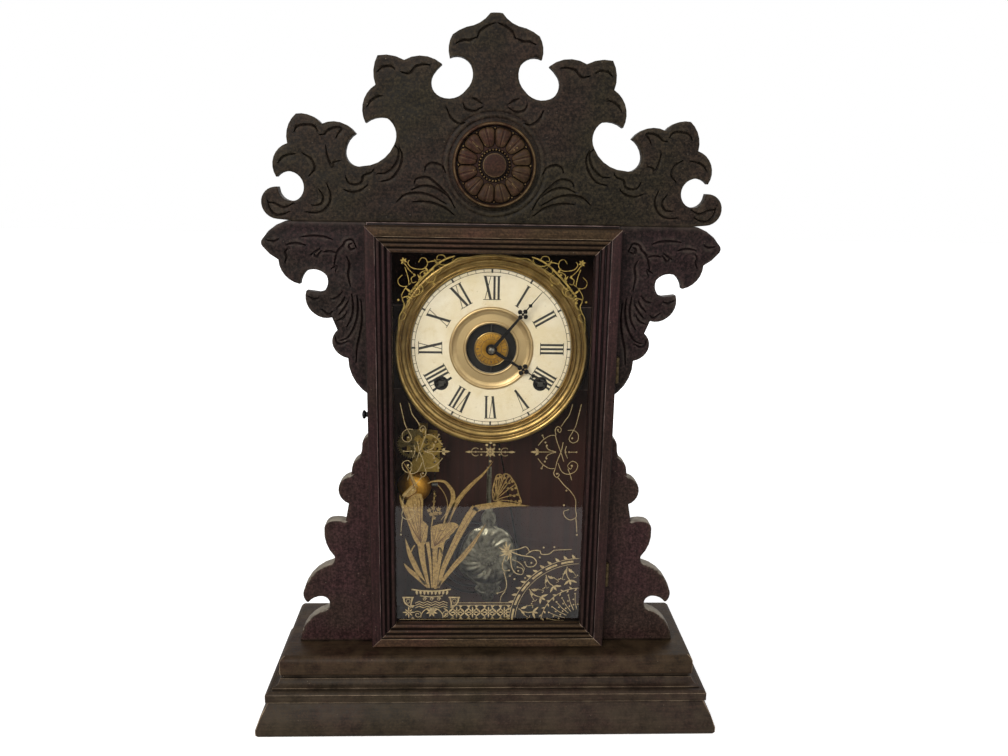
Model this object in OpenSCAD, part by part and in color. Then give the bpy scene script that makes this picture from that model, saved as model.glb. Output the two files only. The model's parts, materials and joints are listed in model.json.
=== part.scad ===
// Gingerbread kitchen clock with time, strike and alarm.
// Origin: centre of the base footprint on the surface it stands on.
// +Z is up, the dial and the door face -Y, +X is to the right as seen from the front.

/* [Case] */
// Outside width of the box and of the door
case_w = 196; // [180:1:230]
// Height of the box from the deck to the underside of the crest
case_h = 357; // [345:1:420]
// Depth of the side boards
case_d = 61; // [61:1:75]
// Thickness of the side and top boards
board_t = 9; // [7:0.5:11]
// Thickness of the back board
back_t = 6; // [4:0.5:9]

/* [Base] */
// Height of the plinth
plinth_h = 27; // [22:1:36]
// How far the plinth stands out past the deck
plinth_out = 18; // [15:0.5:24]
// Thickness of the plinth boards at the foot
plinth_t = 16; // [13:0.5:22]
// Height of the middle moulding
moulding_h = 18.5; // [16:0.5:26]
// How far the middle moulding stands out past the deck
moulding_out = 10.5; // [9:0.5:13]
// Thickness of the deck board
deck_h = 17; // [13:0.5:22]
// How far the deck runs past the box at each side
deck_side = 76; // [66:1:90]
// How far the deck runs in front of the box
deck_front = 27; // [22:1:36]

/* [Crest and ears] */
// Thickness of the fretted crest and ears
fret_t = 10; // [7:0.5:13]
// Overall width of the crest
crest_w = 354.4; // [330:0.2:380]
// Height of the crest
crest_h = 152.5; // [135:0.5:175]
// How far an upper ear reaches out from the box
upper_ear_w = 81; // [70:0.5:92]
// Height of an upper ear
upper_ear_h = 137.5; // [120:0.5:150]
// How far a lower ear reaches out from the box
lower_ear_w = 63.4; // [55:0.2:65]
// Bare height of the box between its upper and its lower ear
ear_gap = 33; // [28:0.5:45]
// Radius of the rosette
rosette_r = 32; // [26:0.5:38]
// Height of the rosette centre above the foot of the crest
rosette_z = 44; // [42:0.5:52]
// How far the rosette stands out from the crest
rosette_t = 6; // [4:0.5:9]

/* [Door] */
// Thickness of the door frame
door_t = 15.6; // [13:0.2:20]
// Width of the stiles and rails
frame_w = 20; // [19:0.5:26]
// Gap between the door and the front of the box
door_gap = 0.4; // [0.3:0.1:1]
// Gap above the door
door_top_gap = 2; // [1:0.5:5]
// Gap below the door
door_foot_gap = 3; // [2:0.5:6]
// Radius of the two middle reeds
reed_r = 1.5; // [1:0.1:1.8]
// Radius of the bead along the glass
bead_r = 1.9; // [1.5:0.1:2.2]
// Width of the groove between reeds
groove_w = 0.8; // [0.5:0.1:1.2]
// How far each reed steps back from the one outside it
reed_step = 1.3; // [0.8:0.1:1.8]
// Width of the rebate that holds the glass
rebate_w = 4.5; // [3.5:0.1:5]
// Depth of the rebate
rebate_d = 7; // [6:0.2:8]
// Thickness of the glass
glass_t = 2; // [1.5:0.1:3]
// Play around the glass in its rebate
glass_play = 0.4; // [0.2:0.1:0.8]
// Diameter of the knob
knob_d = 7; // [5:0.5:10]
// Height of the knob above the foot of the door
knob_z = 203; // [150:1:230]

/* [Hinges] */
// Height of a hinge
hinge_h = 21; // [15:0.5:30]
// Height of the lower hinge centre above the foot of the door
hinge_low = 61; // [40:1:90]
// Height of the upper hinge centre above the foot of the door
hinge_high = 240; // [200:1:300]
// Diameter of a hinge pin
pin_d = 1.8; // [1.4:0.1:2.2]
// Radius of the hinge knuckles
knuckle_r = 2.2; // [2:0.1:2.5]
// Thickness of a hinge leaf
leaf_t = 0.8; // [0.6:0.05:1]
// Width of a hinge leaf
leaf_w = 7; // [5:0.5:8]
// Running clearance around a pin
pin_play = 0.05; // [0.03:0.01:0.1]

/* [Dial] */
// Distance of the dial centre below the foot of the crest
dial_drop = 101.5; // [101:0.5:106]
// How far the dial lies behind the front of the box
dial_set = 17.5; // [16.5:0.5:19]
// Outside radius of the bezel
bezel_r = 79.2; // [76:0.2:84]
// Inside radius of the bezel
paper_r = 65.6; // [62:0.2:68]
// Depth of the bezel
bezel_d = 9; // [7:0.5:10]
// Thickness of the dial pan
pan_t = 1; // [0.6:0.1:1.4]
// Outside radius of the brass centre
centre_r = 34.5; // [31:0.5:37]
// Radius of the opening in the middle of the dial
dial_hole_r = 20.5; // [18:0.5:23]
// Radius of the winding holes
winding_hole_r = 4.9; // [4:0.1:6]
// Radius of the alarm disc
alarm_disc_r = 14; // [12:0.5:16]

/* [Hands] */
// Length of the minute hand
minute_len = 62.5; // [56:0.5:63]
// Length of the hour hand
hour_len = 50; // [44:0.5:55]
// Thickness of a hand
hand_t = 0.8; // [0.5:0.1:1.2]
// Angle of the minute hand from twelve, clockwise
minute_at = 40; // [0:1:359]
// Angle of the hour hand from twelve, clockwise
hour_at = 122; // [0:1:359]

/* [Movement] */
// Room between the back plate and the back board
back_room = 3.5; // [2:0.5:6]
// Thickness of a plate
plate_t = 1.5; // [1.2:0.1:1.8]
// Room between the dial pan and the front plate
dial_room = 5.5; // [5.5:0.1:7]
// Radius of the train arbors
arbor_r = 1.2; // [1:0.1:1.4]
// Radius of the train pivots
pivot_r = 0.7; // [0.5:0.05:0.9]
// Clearance around a pivot or a pipe
bore_play = 0.08; // [0.04:0.01:0.1]
// Radius of the winding arbors
winding_r = 3; // [2.6:0.1:3.4]
// Width across the winding square
square_w = 4.2; // [3.6:0.1:4.6]
// Thickness of the great wheels
great_t = 2; // [1.6:0.1:2.4]
// Thickness of the other wheels
wheel_t = 1.2; // [1:0.1:1.4]
// Radius of the plate pillars
pillar_r = 3; // [2.5:0.1:3.4]

/* [Mainspring] */
// Room at each side of a mainspring, to its ratchet and to the back plate
spring_room = 0.8; // [0.5:0.1:2]
// Thickness of the spring strip
spring_t = 0.5; // [0.35:0.05:0.7]
// Distance from one turn to the next
spring_pitch = 3; // [2.4:0.1:3.2]
// Number of full turns, before the half turn that leads to the pillar
spring_turns = 6; // [4:1:6]

/* [Pendulum] */
// Height of the middle of the bob above the deck
bob_up = 69.5; // [64:0.5:80]
// Width of the bob
bob_w = 52; // [44:1:58]
// Height of the bob
bob_h = 88; // [78:1:92]
// Thickness of the bob at its middle
bob_t = 10; // [8:0.5:12]
// Length of the flat shank above the bob
shank_len = 38; // [20:1:45]
// Width of the shank
shank_w = 4; // [3:0.5:6]
// Radius of the pendulum wire
rod_r = 0.8; // [0.6:0.05:0.9]
// Height of the pendulum pivot above the dial centre
pivot_up = 57; // [57:0.5:60]

/* [Gong] */
// Radius of the gong wire
gong_wire_r = 1.1; // [0.8:0.1:1.4]
// Distance from one turn of the gong to the next
gong_pitch = 6.4; // [6:0.1:7]
// Number of turns of the gong
gong_turns = 5; // [3:0.5:5]
// Height of the gong centre above the deck
gong_h = 56; // [50:0.5:62]
// Distance of the gong centre to the left of the middle
gong_left = 14; // [10:0.5:18]
// Thickness of the iron gong base
gong_base_t = 5; // [4:0.5:7]

/* [Alarm] */
// Distance of the alarm wheel from the inside of the left board
alarm_wall = 23; // [21:0.5:25]
// Distance of the alarm wheels below the dial centre
alarm_down = 87; // [85:0.5:92]
// Distance of the bell below the alarm wheels
bell_down = 45; // [44:0.5:52]
// Radius of the bell
bell_r = 15; // [13:0.5:16]
// Wall of the bell
bell_wall = 1.2; // [0.8:0.1:1.6]

/* [Hidden] */

// Colours
ebony = [0.13, 0.095, 0.085];
ebony_crest = [0.15, 0.125, 0.1];
rosette_red = [0.22, 0.11, 0.09];
brass = [0.62, 0.5, 0.26];
old_brass = [0.45, 0.36, 0.18];
steel = [0.5, 0.5, 0.52];
blued = [0.08, 0.08, 0.1];
paper = [0.87, 0.82, 0.68];
glass_tint = [0.75, 0.82, 0.8, 0.35];
silver = [0.6, 0.63, 0.6];
iron = [0.16, 0.15, 0.15];
pine = [0.42, 0.3, 0.18];

// Smoothness of true rounds, and the step between points of a drawn arc
$fn = 64;
arc_step = 14;
// Overrun of a cutting shape past the face that it cuts
over = 1;

// Levels and planes of the case
deck_w = case_w + 2 * deck_side;
base_d = plinth_out + deck_front + case_d + back_t;
y_rear = base_d / 2;
y_deck = plinth_out - base_d / 2;
y_front = y_deck + deck_front;
y_back = y_front + case_d;
z_moulding = plinth_h;
z_deck = plinth_h + moulding_h;
z_case = z_deck + deck_h;
z_crest = z_case + case_h;
inner_w = case_w - 2 * board_t;
lower_ear_h = case_h - upper_ear_h - ear_gap;

// Door
y_door = y_front - door_gap;
door_h = case_h - door_top_gap - door_foot_gap;
z_door = z_case + door_foot_gap;
opening_w = case_w - 2 * frame_w;
opening_h = door_h - 2 * frame_w;
z_opening = z_door + frame_w;
bead_u = frame_w - bead_r;
reed2_u = bead_u - bead_r - groove_w - reed_r;
reed1_u = reed2_u - 2 * reed_r - groove_w;
band_u = reed1_u - reed_r - groove_w;
glass_y = y_door - rebate_d;
hinge_x = case_w / 2 + knuckle_r + 0.3;
hinge_y = y_front - knuckle_r - 0.3;
mortise_d = 2 * leaf_t + 0.3 - door_gap + 0.1;

// Dial
z_dial = z_crest - dial_drop;
y_paper = y_front + dial_set;
y_pan_back = y_paper + pan_t;
y_hour_hand = y_paper - 5.4;
y_minute_hand = y_hour_hand - 2.4;
y_alarm_disc = y_paper - 2.2;

// Movement layers, each measured from the one in front of it
y_plate1 = y_pan_back + dial_room;
y_gap = y_plate1 + plate_t;
y_plate2 = y_back - back_room - plate_t;
plate_gap = y_plate2 - y_gap;
y_hour_wheel = y_gap + 0.7;
y_minute_wheel = y_hour_wheel + 1.7;
y_second = y_minute_wheel + 1.9;
y_great = y_second + 3.2;
y_ratchet = y_great + great_t + 0.4;
ratchet_t = 1.2;
y_spring = y_ratchet + ratchet_t + spring_room;
spring_w = y_plate2 - 2 * spring_room - y_spring;
y_fourth = y_great + 4;
y_strike_third = y_fourth + 2;
y_third = y_fourth + 4;
y_escape = y_third + 6;
pendulum_len = z_dial + pivot_up - z_case - bob_up;

// Tooth counts and modules of the trains
great_mod = 0.8;
great_teeth = 72;
first_leaves = 12;
second_teeth = 54;
second_mod = 0.6;
centre_teeth = 27;
leaves = 8;
third_teeth = 48;
third_mod = 0.55;
fourth_teeth = 48;
fourth_mod = 0.5;
escape_teeth = 30;
escape_r = 12.2;
strike_second_teeth = 50;
strike_mod = 0.5;
strike_third_teeth = 48;
minute_teeth = 36;
minute_mod = 0.5;
cannon_leaves = 12;
hour_teeth = 48;
hour_mod = 0.4;
alarm_teeth = 40;
alarm_mod = 0.65;
alarm_scape_teeth = 24;
ratchet_teeth = 20;
ratchet_r = 11;

function centres(m, a, b) = m * (a + b) / 2;
function length(v) = sqrt(v[0] * v[0] + v[1] * v[1]);
// Point at distance ra from a and rb from b, to the left of the way from a to b
function meet(a, b, ra, rb) =
    let (d = length(b - a), u = (b - a) / d, s = (ra * ra - rb * rb + d * d) / (2 * d),
        h = sqrt(ra * ra - s * s))
    a + s * u + h * [-u[1], u[0]];
function bearing(a, b) = atan2(b[1] - a[1], b[0] - a[0]);
// Angle of a pinion's leaf so that it runs in the gaps of the wheel beside it
function in_mesh(a, b, at_a, teeth_a, teeth_b) =
    let (line = bearing(a, b))
    line + 180 - (360 / teeth_b) * (0.5 - (line - at_a) * teeth_a / 360);

// Arbor places in the plane of the dial, as [right, up] from the dial centre
p_centre = [0, 0];
p_great = [41, -29.5];
p_verge = [0, pivot_up - 4];
p_escape = p_verge - [0, 19];
p_time_second = meet(p_centre, p_great, centres(second_mod, second_teeth, centre_teeth),
    centres(great_mod, great_teeth, first_leaves));
p_third = p_time_second + centres(second_mod, second_teeth, leaves) * [-0.124, 0.992];
p_fourth = meet(p_escape, p_third, centres(fourth_mod, fourth_teeth, leaves),
    centres(third_mod, third_teeth, leaves));
p_minute_wheel = [0, -centres(minute_mod, minute_teeth, cannon_leaves)];
p_strike_great = [-p_great[0], p_great[1]];
p_strike_second = [-p_time_second[0], p_time_second[1]];
p_strike_third = p_strike_second + centres(strike_mod, strike_second_teeth, leaves) * [-0.12, 0.993];
p_fly = p_strike_third + centres(strike_mod, strike_third_teeth, leaves) * [0.15, 0.989];
p_hammer = [0, -44];
p_alarm = [alarm_wall - inner_w / 2, -alarm_down];
p_alarm_scape = p_alarm + [centres(alarm_mod, alarm_teeth, leaves), 0];
p_alarm_verge = p_alarm_scape + [3, -17];
p_bell = p_alarm - [0, bell_down];
pillar_places = [[15, -57], [-15, -57], [64, 12], [-64, 12], [34, 57], [-34, 57]];
swing_radius = 8.8;

// Points from a to b on the circle through a, m and b, without b itself
function arc_points(a, m, b) =
    m == 0 ? [a] :
    let (d = 2 * (a[0] * (m[1] - b[1]) + m[0] * (b[1] - a[1]) + b[0] * (a[1] - m[1])),
        aa = a * a, mm = m * m, bb = b * b,
        c = [(aa * (m[1] - b[1]) + mm * (b[1] - a[1]) + bb * (a[1] - m[1])) / d,
             (aa * (b[0] - m[0]) + mm * (a[0] - b[0]) + bb * (m[0] - a[0])) / d],
        r = length(a - c), from = bearing(c, a), to = bearing(c, b),
        left = (m[0] - a[0]) * (b[1] - m[1]) - (m[1] - a[1]) * (b[0] - m[0]) > 0,
        turn = left ? (to - from + 720) % 360 : -((from - to + 720) % 360),
        n = max(2, ceil(abs(turn) / arc_step)))
    [for (i = [0 : n - 1]) c + r * [cos(from + turn * i / n), sin(from + turn * i / n)]];
// An outline as end, through, end, through, end; a through point of 0 is a straight edge
function arcs(p) = [for (i = [0 : 2 : len(p) - 3]) each arc_points(p[i], p[i + 1], p[i + 2]),
    p[len(p) - 1]];
function stretched(p, kx, kz) = [for (q = p) [q[0] * kx, q[1] * kz]];
function reversed(p) = [for (i = [len(p) - 1 : -1 : 0]) p[i]];

// Half outline of the crest, [out from the middle, up from its foot]
crest_path = [[0, 152.5], [2.2, 152.5], [4.5, 152.2], [10, 146.8], [16.5, 143.5],
    [24.6, 141.2], [32.1, 136.8], [35, 128.5], [34.3, 120.9], [26.9, 122], [18.8, 117],
    [17, 108], [22, 98.2], [30.9, 92.3], [41.2, 93], [47.4, 99.6], [46.5, 108.9],
    [43.6, 112.7], [39.9, 116.2], [54, 121.6], [67.8, 118.3], [77.5, 121.5],
    [87.3, 121.1], [90.6, 110.5], [89.2, 100.4], [98.8, 87.3], [97.2, 73.3],
    [89.5, 77], [81.4, 77.1], [74.7, 68.4], [76, 57.5], [85.6, 46.2], [100, 41.7],
    [110.3, 44.6], [112.7, 53.4], [110.2, 60], [104.5, 65.4], [116.9, 73.5],
    [129.8, 71.8], [138.5, 78], [148.6, 78.8], [155.3, 69], [155.9, 57.4],
    [166.6, 47.3], [165.1, 32.7], [157.3, 36.9], [149, 34.5], [144.6, 25.5],
    [149, 16.5], [157, 15.2], [163.5, 21.2], 0, [164.5, 25.4], [172.6, 23.2],
    [177.2, 15.7], [174.8, 6.1], [165.5, 1.2], 0, [151, 0]];
crest_path_w = 354.4;
crest_path_h = 152.5;
// Outline of an upper ear, [out from the box, up from the foot of the crest]
upper_ear_path = [[0, 0], 0, [61.5, 0], [71.5, -5], [79.6, -13.6], [81, -16.8],
    [79.5, -20.3], [74.8, -25.4], [68.3, -29.7], [64.3, -41.2], [52.5, -48.5],
    [50.4, -42.2], [47, -38.2], [38.5, -37.2], [31.5, -41.7], [30.6, -46.6],
    [34, -53.9], 0, [37.6, -54.9], 0, [47.7, -53.7], [48, -63], [41.8, -71.9],
    [35.5, -74.9], [28.3, -74.6], 0, [24.3, -84.6], [28.3, -90.5], [28.1, -98],
    [23.7, -104], [16.5, -107.3], [13, -123], [0, -137.5]];
upper_ear_path_w = 81;
upper_ear_path_h = 137.5;
// Outline of a lower ear, [out from the box, up from the deck]
lower_ear_path = [[0, 186.5], [5, 183], [6.9, 176.3], [7.5, 171.5], [9.5, 166.8],
    [13.5, 163.2], [15.5, 158], 0, [16.4, 151.2], [27.1, 140.2], [19, 126.2], 0,
    [21.9, 110.5], [27, 111.6], [33, 111.4], [37.8, 108.9], [39.9, 103],
    [39, 91.5], [32.3, 79], [31.9, 76.5], [33.7, 72.9], [50.8, 62.5], [59.2, 46.5],
    [59.2, 41], [56.8, 36.5], 0, [55.3, 36.3], [49.5, 40.8], [43.9, 41.8],
    [38.3, 38.5], [37.9, 32.1], 0, [39.9, 30.1], [56, 19.4], [63.4, 0], 0, [0, 0]];
lower_ear_path_w = 63.4;
lower_ear_path_h = 186.5;
// Edge profiles of the base, [out past the deck, up from the foot of the layer]
plinth_edge = arcs([[plinth_out - 1.5, 0], 0, [plinth_out, 2.5], 0, [plinth_out, 7],
    [plinth_out - 3.6, plinth_h * 0.62], [moulding_out - 1, plinth_h - 1.5], 0,
    [moulding_out - 2, plinth_h]]);
moulding_edge = arcs([[moulding_out - 1, 0], 0, [moulding_out, 1], 0, [moulding_out, 7.5],
    [moulding_out - 1.3, 9], [moulding_out - 5, 9.6], 0, [moulding_out - 5, 11], 0,
    [2.6, 11.6], [0.6, 13.6], [-0.4, moulding_h - 2], 0, [-2.5, moulding_h - 2], 0,
    [-2.5, moulding_h]]);
deck_edge = arcs([[-2.5, 0], [-0.5, 1], [0, 3.2], 0, [0, deck_h - 5.5],
    [-1.6, deck_h - 1.4], [-6, deck_h]]);
// Door frame section, [in from the outer edge, forward from the back of the door]
frame_section = concat([[0, 0]],
    arcs([[0, door_t - 1.2], [0.4, door_t - 0.4], [1.2, door_t], 0, [band_u, door_t], 0,
    [band_u + 0.1, door_t - reed_r], 0, [reed1_u - reed_r, door_t - reed_r],
    [reed1_u, door_t], [reed1_u + reed_r, door_t - reed_r], 0,
    [reed1_u + reed_r + 0.1, door_t - reed_r - reed_step], 0,
    [reed2_u - reed_r, door_t - reed_r - reed_step], [reed2_u, door_t - reed_step],
    [reed2_u + reed_r, door_t - reed_r - reed_step], 0,
    [reed2_u + reed_r + 0.1, door_t - bead_r - 2 * reed_step], 0,
    [bead_u - bead_r, door_t - bead_r - 2 * reed_step], [bead_u, door_t - 2 * reed_step],
    [bead_u + bead_r, door_t - bead_r - 2 * reed_step]]),
    [[frame_w, rebate_d], [frame_w - rebate_w, rebate_d], [frame_w - rebate_w, 0]]);

// Outline of a wheel or pinion: depth above and below the pitch circle in modules,
// and tooth width at root, pitch and tip as a share of the tooth spacing
function gear(n, m, up, down, root, pitch, tip, at = 0) =
    [for (i = [0 : n - 1], q = [[-down, -root], [0, -pitch], [up, -tip], [up, tip], [0, pitch],
        [-down, root]])
        let (r = n * m / 2 + q[0] * m, a = at + (i + q[1] / 2) * 360 / n)
        r * [cos(a), sin(a)]];
function wheel_outline(n, m) = gear(n, m, 0.9, 1.3, 0.55, 0.42, 0.12);
function pinion_outline(n, m, at) = gear(n, m, 0.45, 1.5, 0.32, 0.34, 0.18, at);
// Pointed or saw teeth, each from its root at share lean of the spacing to its tip
function saw_outline(n, root, tip, lean) =
    [for (i = [0 : n - 1], q = [[root, 0], [tip, lean], [tip, lean + 0.06]])
        q[0] * [cos((i + q[1]) * 360 / n), sin((i + q[1]) * 360 / n)]];
function sector(r0, r1, a0, a1, n) = concat(
    [for (i = [0 : n]) r1 * [cos(a0 + (a1 - a0) * i / n), sin(a0 + (a1 - a0) * i / n)]],
    [for (i = [n : -1 : 0]) r0 * [cos(a0 + (a1 - a0) * i / n), sin(a0 + (a1 - a0) * i / n)]]);

// A flat shape in the plane of the dial, thickened backwards from y
module slab(y, t) {
    translate([0, y + t, 0])
        rotate([90, 0, 0])
            linear_extrude(t) children();
}
// A rod along Y
module rod_y(y, t, r, sides = 64) {
    translate([0, y + t, 0])
        rotate([90, 0, 0])
            cylinder(h = t, r = r, $fn = sides);
}
module at_dial(p) {
    translate([p[0], 0, z_dial + p[1]]) children();
}
// Straight wire between two points
module wire(a, b, r) {
    d = b - a;
    l = sqrt(d * d);
    translate(a)
        rotate([0, acos(d[2] / l), atan2(d[1], d[0])])
            cylinder(h = l, r = r, $fn = 24);
}
// Wheel rim with crossings
module wheel_face(outline, rim_r, hub_r, spokes, bore) {
    half_spoke = 1.1;
    difference() {
        polygon(outline);
        for (i = [0 : spokes - 1])
            polygon(sector(hub_r, rim_r, i * 360 / spokes + asin(half_spoke / hub_r),
                (i + 1) * 360 / spokes - asin(half_spoke / hub_r), 6));
        if (bore > 0) circle(bore);
    }
}

// Base

// Board whose front and two side edges carry one profile, mitred at the corners
module edged_board(edge, w, y0, y1) {
    reach = 60;
    last = len(edge) - 1;
    intersection() {
        translate([-w / 2 - reach, 0, 0])
            rotate([90, 0, 90])
                linear_extrude(w + 2 * reach)
                    polygon(concat([[y1, edge[0][1]]], [for (p = edge) [y0 - p[0], p[1]]],
                        [[y1, edge[last][1]]]));
        translate([0, y1, 0])
            rotate([90, 0, 0])
                linear_extrude(y1 - y0 + reach)
                    polygon(concat([for (p = edge) [w / 2 + p[0], p[1]]],
                        reversed([for (p = edge) [-w / 2 - p[0], p[1]]])));
    }
}
// Hollow of the plinth frame behind its boards
module plinth_shell() {
    difference() {
        edged_board(plinth_edge, deck_w, y_deck, y_rear);
        translate([-plinth_in, y_plinth_in, -over])
            cube([2 * plinth_in, base_d, plinth_h + 2 * over]);
    }
}
plinth_in = deck_w / 2 + plinth_out - plinth_t;
y_plinth_in = y_deck - plinth_out + plinth_t;
module plinth_front() {
    cut = base_d;
    color(ebony)
        intersection() {
            plinth_shell();
            linear_extrude(plinth_h)
                polygon([[-plinth_in, y_plinth_in], [-plinth_in - cut, y_plinth_in - cut],
                    [plinth_in + cut, y_plinth_in - cut], [plinth_in, y_plinth_in]]);
        }
}
module plinth_return() {
    cut = base_d;
    color(ebony)
        intersection() {
            plinth_shell();
            linear_extrude(plinth_h)
                polygon([[plinth_in, y_plinth_in], [plinth_in + cut, y_plinth_in - cut],
                    [plinth_in + cut, y_rear], [plinth_in, y_rear]]);
        }
}
module plinth_left() {
    mirror([1, 0, 0]) plinth_return();
}
module plinth_right() {
    plinth_return();
}
module base_moulding() {
    color(ebony)
        translate([0, 0, z_moulding])
            edged_board(moulding_edge, deck_w, y_deck, y_rear);
}
module base_deck() {
    color(ebony)
        translate([0, 0, z_deck])
            edged_board(deck_edge, deck_w, y_deck, y_rear);
}

// Box, crest and ears

// Side board with the upright strip that the dial pan is pinned to
module case_side() {
    cleat_h = 70;
    cleat_d = 9;
    cleat_in = bezel_r - 8.2;
    color(ebony)
        union() {
            translate([case_w / 2 - board_t, y_front, z_case])
                cube([board_t, case_d, case_h - board_t]);
            translate([cleat_in, y_pan_back, z_dial - cleat_h / 2])
                cube([case_w / 2 - board_t / 2 - cleat_in, cleat_d, cleat_h]);
        }
}
module case_left_side() {
    mirror([1, 0, 0]) case_side();
}
module case_right_side() {
    case_side();
}
module case_top() {
    color(ebony)
        translate([-case_w / 2, y_front, z_crest - board_t])
            cube([case_w, case_d, board_t]);
}
module back_board() {
    color(pine)
        translate([-case_w / 2, y_back, z_case])
            cube([case_w, back_t, case_h]);
}
module crest_board() {
    half = stretched(arcs(crest_path), crest_w / crest_path_w, crest_h / crest_path_h);
    last = len(half) - 1;
    color(ebony_crest)
        translate([0, 0, z_crest])
            slab(y_front, fret_t)
                polygon(concat(half, reversed([for (i = [1 : last]) [-half[i][0], half[i][1]]])));
}
// Turned rosette with a ring, round petals and a beaded boss
module crest_rosette() {
    petals = 12;
    beads = 18;
    bead_ring = rosette_r * 0.36;
    petal_r = rosette_r * 0.155;
    color(rosette_red)
        translate([0, 0, z_crest + rosette_z]) {
            translate([0, y_front, 0])
                rotate([90, 0, 0])
                    rotate_extrude()
                        polygon([[0, 0], [rosette_r, 0], [rosette_r, rosette_t * 0.55],
                            [rosette_r - 1, rosette_t * 0.75], [rosette_r - 2.2, rosette_t * 0.75],
                            [rosette_r - 3.4, rosette_t * 0.45], [rosette_r * 0.42, rosette_t * 0.45],
                            [rosette_r * 0.4, rosette_t * 0.7], [0, rosette_t * 0.7]]);
            for (i = [0 : petals - 1])
                rotate([0, i * 360 / petals, 0])
                    translate([rosette_r * 0.64, 0, 0])
                        rod_y(y_front - rosette_t * 0.8, rosette_t * 0.6, petal_r, 32);
            for (i = [0 : beads - 1])
                rotate([0, i * 360 / beads, 0])
                    translate([bead_ring, 0, 0])
                        rod_y(y_front - rosette_t * 0.85, rosette_t * 0.4, rosette_t * 0.22, 24);
            rod_y(y_front - rosette_t, rosette_t, rosette_r * 0.28);
        }
}
module upper_ear() {
    color(ebony)
        translate([case_w / 2, 0, z_crest])
            slab(y_front, fret_t)
                polygon(stretched(arcs(upper_ear_path), upper_ear_w / upper_ear_path_w,
                    upper_ear_h / upper_ear_path_h));
}
module lower_ear() {
    color(ebony)
        translate([case_w / 2, 0, z_case])
            slab(y_front, fret_t)
                polygon(stretched(arcs(lower_ear_path), lower_ear_w / lower_ear_path_w,
                    lower_ear_h / lower_ear_path_h));
}
module ear_upper_left() {
    mirror([1, 0, 0]) upper_ear();
}
module ear_upper_right() {
    upper_ear();
}
module ear_lower_left() {
    mirror([1, 0, 0]) lower_ear();
}
module ear_lower_right() {
    lower_ear();
}
// Door

// One member of the frame, outer edge up, back at y = 0, mitred at both ends
module frame_member(l) {
    intersection() {
        translate([-l / 2, 0, 0])
            rotate([90, 0, 90])
                linear_extrude(l)
                    polygon([for (p = frame_section) [-p[1], -p[0]]]);
        slab(-door_t - over, door_t + 2 * over)
            polygon([[-l / 2, 0], [l / 2, 0], [l / 2 - frame_w, -frame_w],
                [-l / 2 + frame_w, -frame_w]]);
    }
}
module stile() {
    translate([case_w / 2, y_door, z_door + door_h / 2])
        rotate([0, 90, 0])
            frame_member(door_h);
}
module door_left_stile() {
    color(ebony)
        mirror([1, 0, 0]) stile();
}
module door_right_stile() {
    color(ebony)
        difference() {
            stile();
            for (z = hinge_places)
                translate([case_w / 2 - leaf_w, y_door - mortise_d, z - hinge_h / 2 - 0.2])
                    cube([leaf_w + over, mortise_d + over, hinge_h + 0.4]);
        }
}
module door_top_rail() {
    color(ebony)
        translate([0, y_door, z_door + door_h])
            frame_member(case_w);
}
module door_bottom_rail() {
    color(ebony)
        translate([0, y_door, z_door])
            mirror([0, 0, 1])
                frame_member(case_w);
}
module door_glass() {
    glass_w = opening_w + 2 * (rebate_w - glass_play);
    glass_h = opening_h + 2 * (rebate_w - glass_play);
    color(glass_tint)
        translate([-glass_w / 2, glass_y, z_opening + opening_h / 2 - glass_h / 2])
            cube([glass_w, glass_t, glass_h]);
}
// Four strips that hold the glass in its rebate
module glass_beads() {
    strip_d = rebate_d - glass_t - 0.5;
    strip_w = rebate_w - 0.5;
    outer_w = opening_w + 2 * rebate_w;
    outer_h = opening_h + 2 * rebate_w;
    z_mid = z_opening + opening_h / 2;
    color(ebony) {
        for (side = [-1, 1])
            translate([side * (outer_w - strip_w) / 2, glass_y + glass_t + strip_d / 2, z_mid])
                cube([strip_w, strip_d, outer_h], center = true);
        for (side = [-1, 1])
            translate([0, glass_y + glass_t + strip_d / 2, z_mid + side * (outer_h - strip_w) / 2])
                cube([outer_w - 2 * strip_w, strip_d, strip_w], center = true);
    }
}
// Turned knob on the outer edge of the left stile
module door_knob() {
    neck = knob_d * 0.28;
    color(blued)
        translate([-case_w / 2, y_door - door_t / 2, z_door + knob_z])
            rotate([0, -90, 0])
                rotate_extrude()
                    polygon(arcs([[0, 0], 0, [neck + 0.8, 0], 0, [neck + 0.8, 0.6],
                        [neck, 1.2], [neck + 0.3, 2], [knob_d / 2, 3.4], [knob_d * 0.4, 4.6],
                        0, [0, 5.2]]));
}

// Hinges

hinge_places = [z_door + hinge_low, z_door + hinge_high];
knuckle_gap = 0.3;
leaf_stop = case_w / 2 - knuckle_gap;
third_h = hinge_h / 3;
// A leaf with its knuckles, each from one height to another, joined to it by tongues
module leaf(y_leaf, knuckles) {
    color(old_brass)
        for (z = hinge_places)
            translate([0, 0, z])
                union() {
                    translate([case_w / 2 - leaf_w + 0.3, y_leaf, -hinge_h / 2])
                        cube([leaf_w - 0.3 - knuckle_gap, leaf_t, hinge_h]);
                    for (k = knuckles) {
                        translate([hinge_x, hinge_y, k[0]])
                            cylinder(h = k[1] - k[0], r = knuckle_r, $fn = 32);
                        translate([leaf_stop, y_leaf, k[0]])
                            cube([hinge_x - leaf_stop, leaf_t, k[1] - k[0]]);
                    }
                }
}
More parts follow.
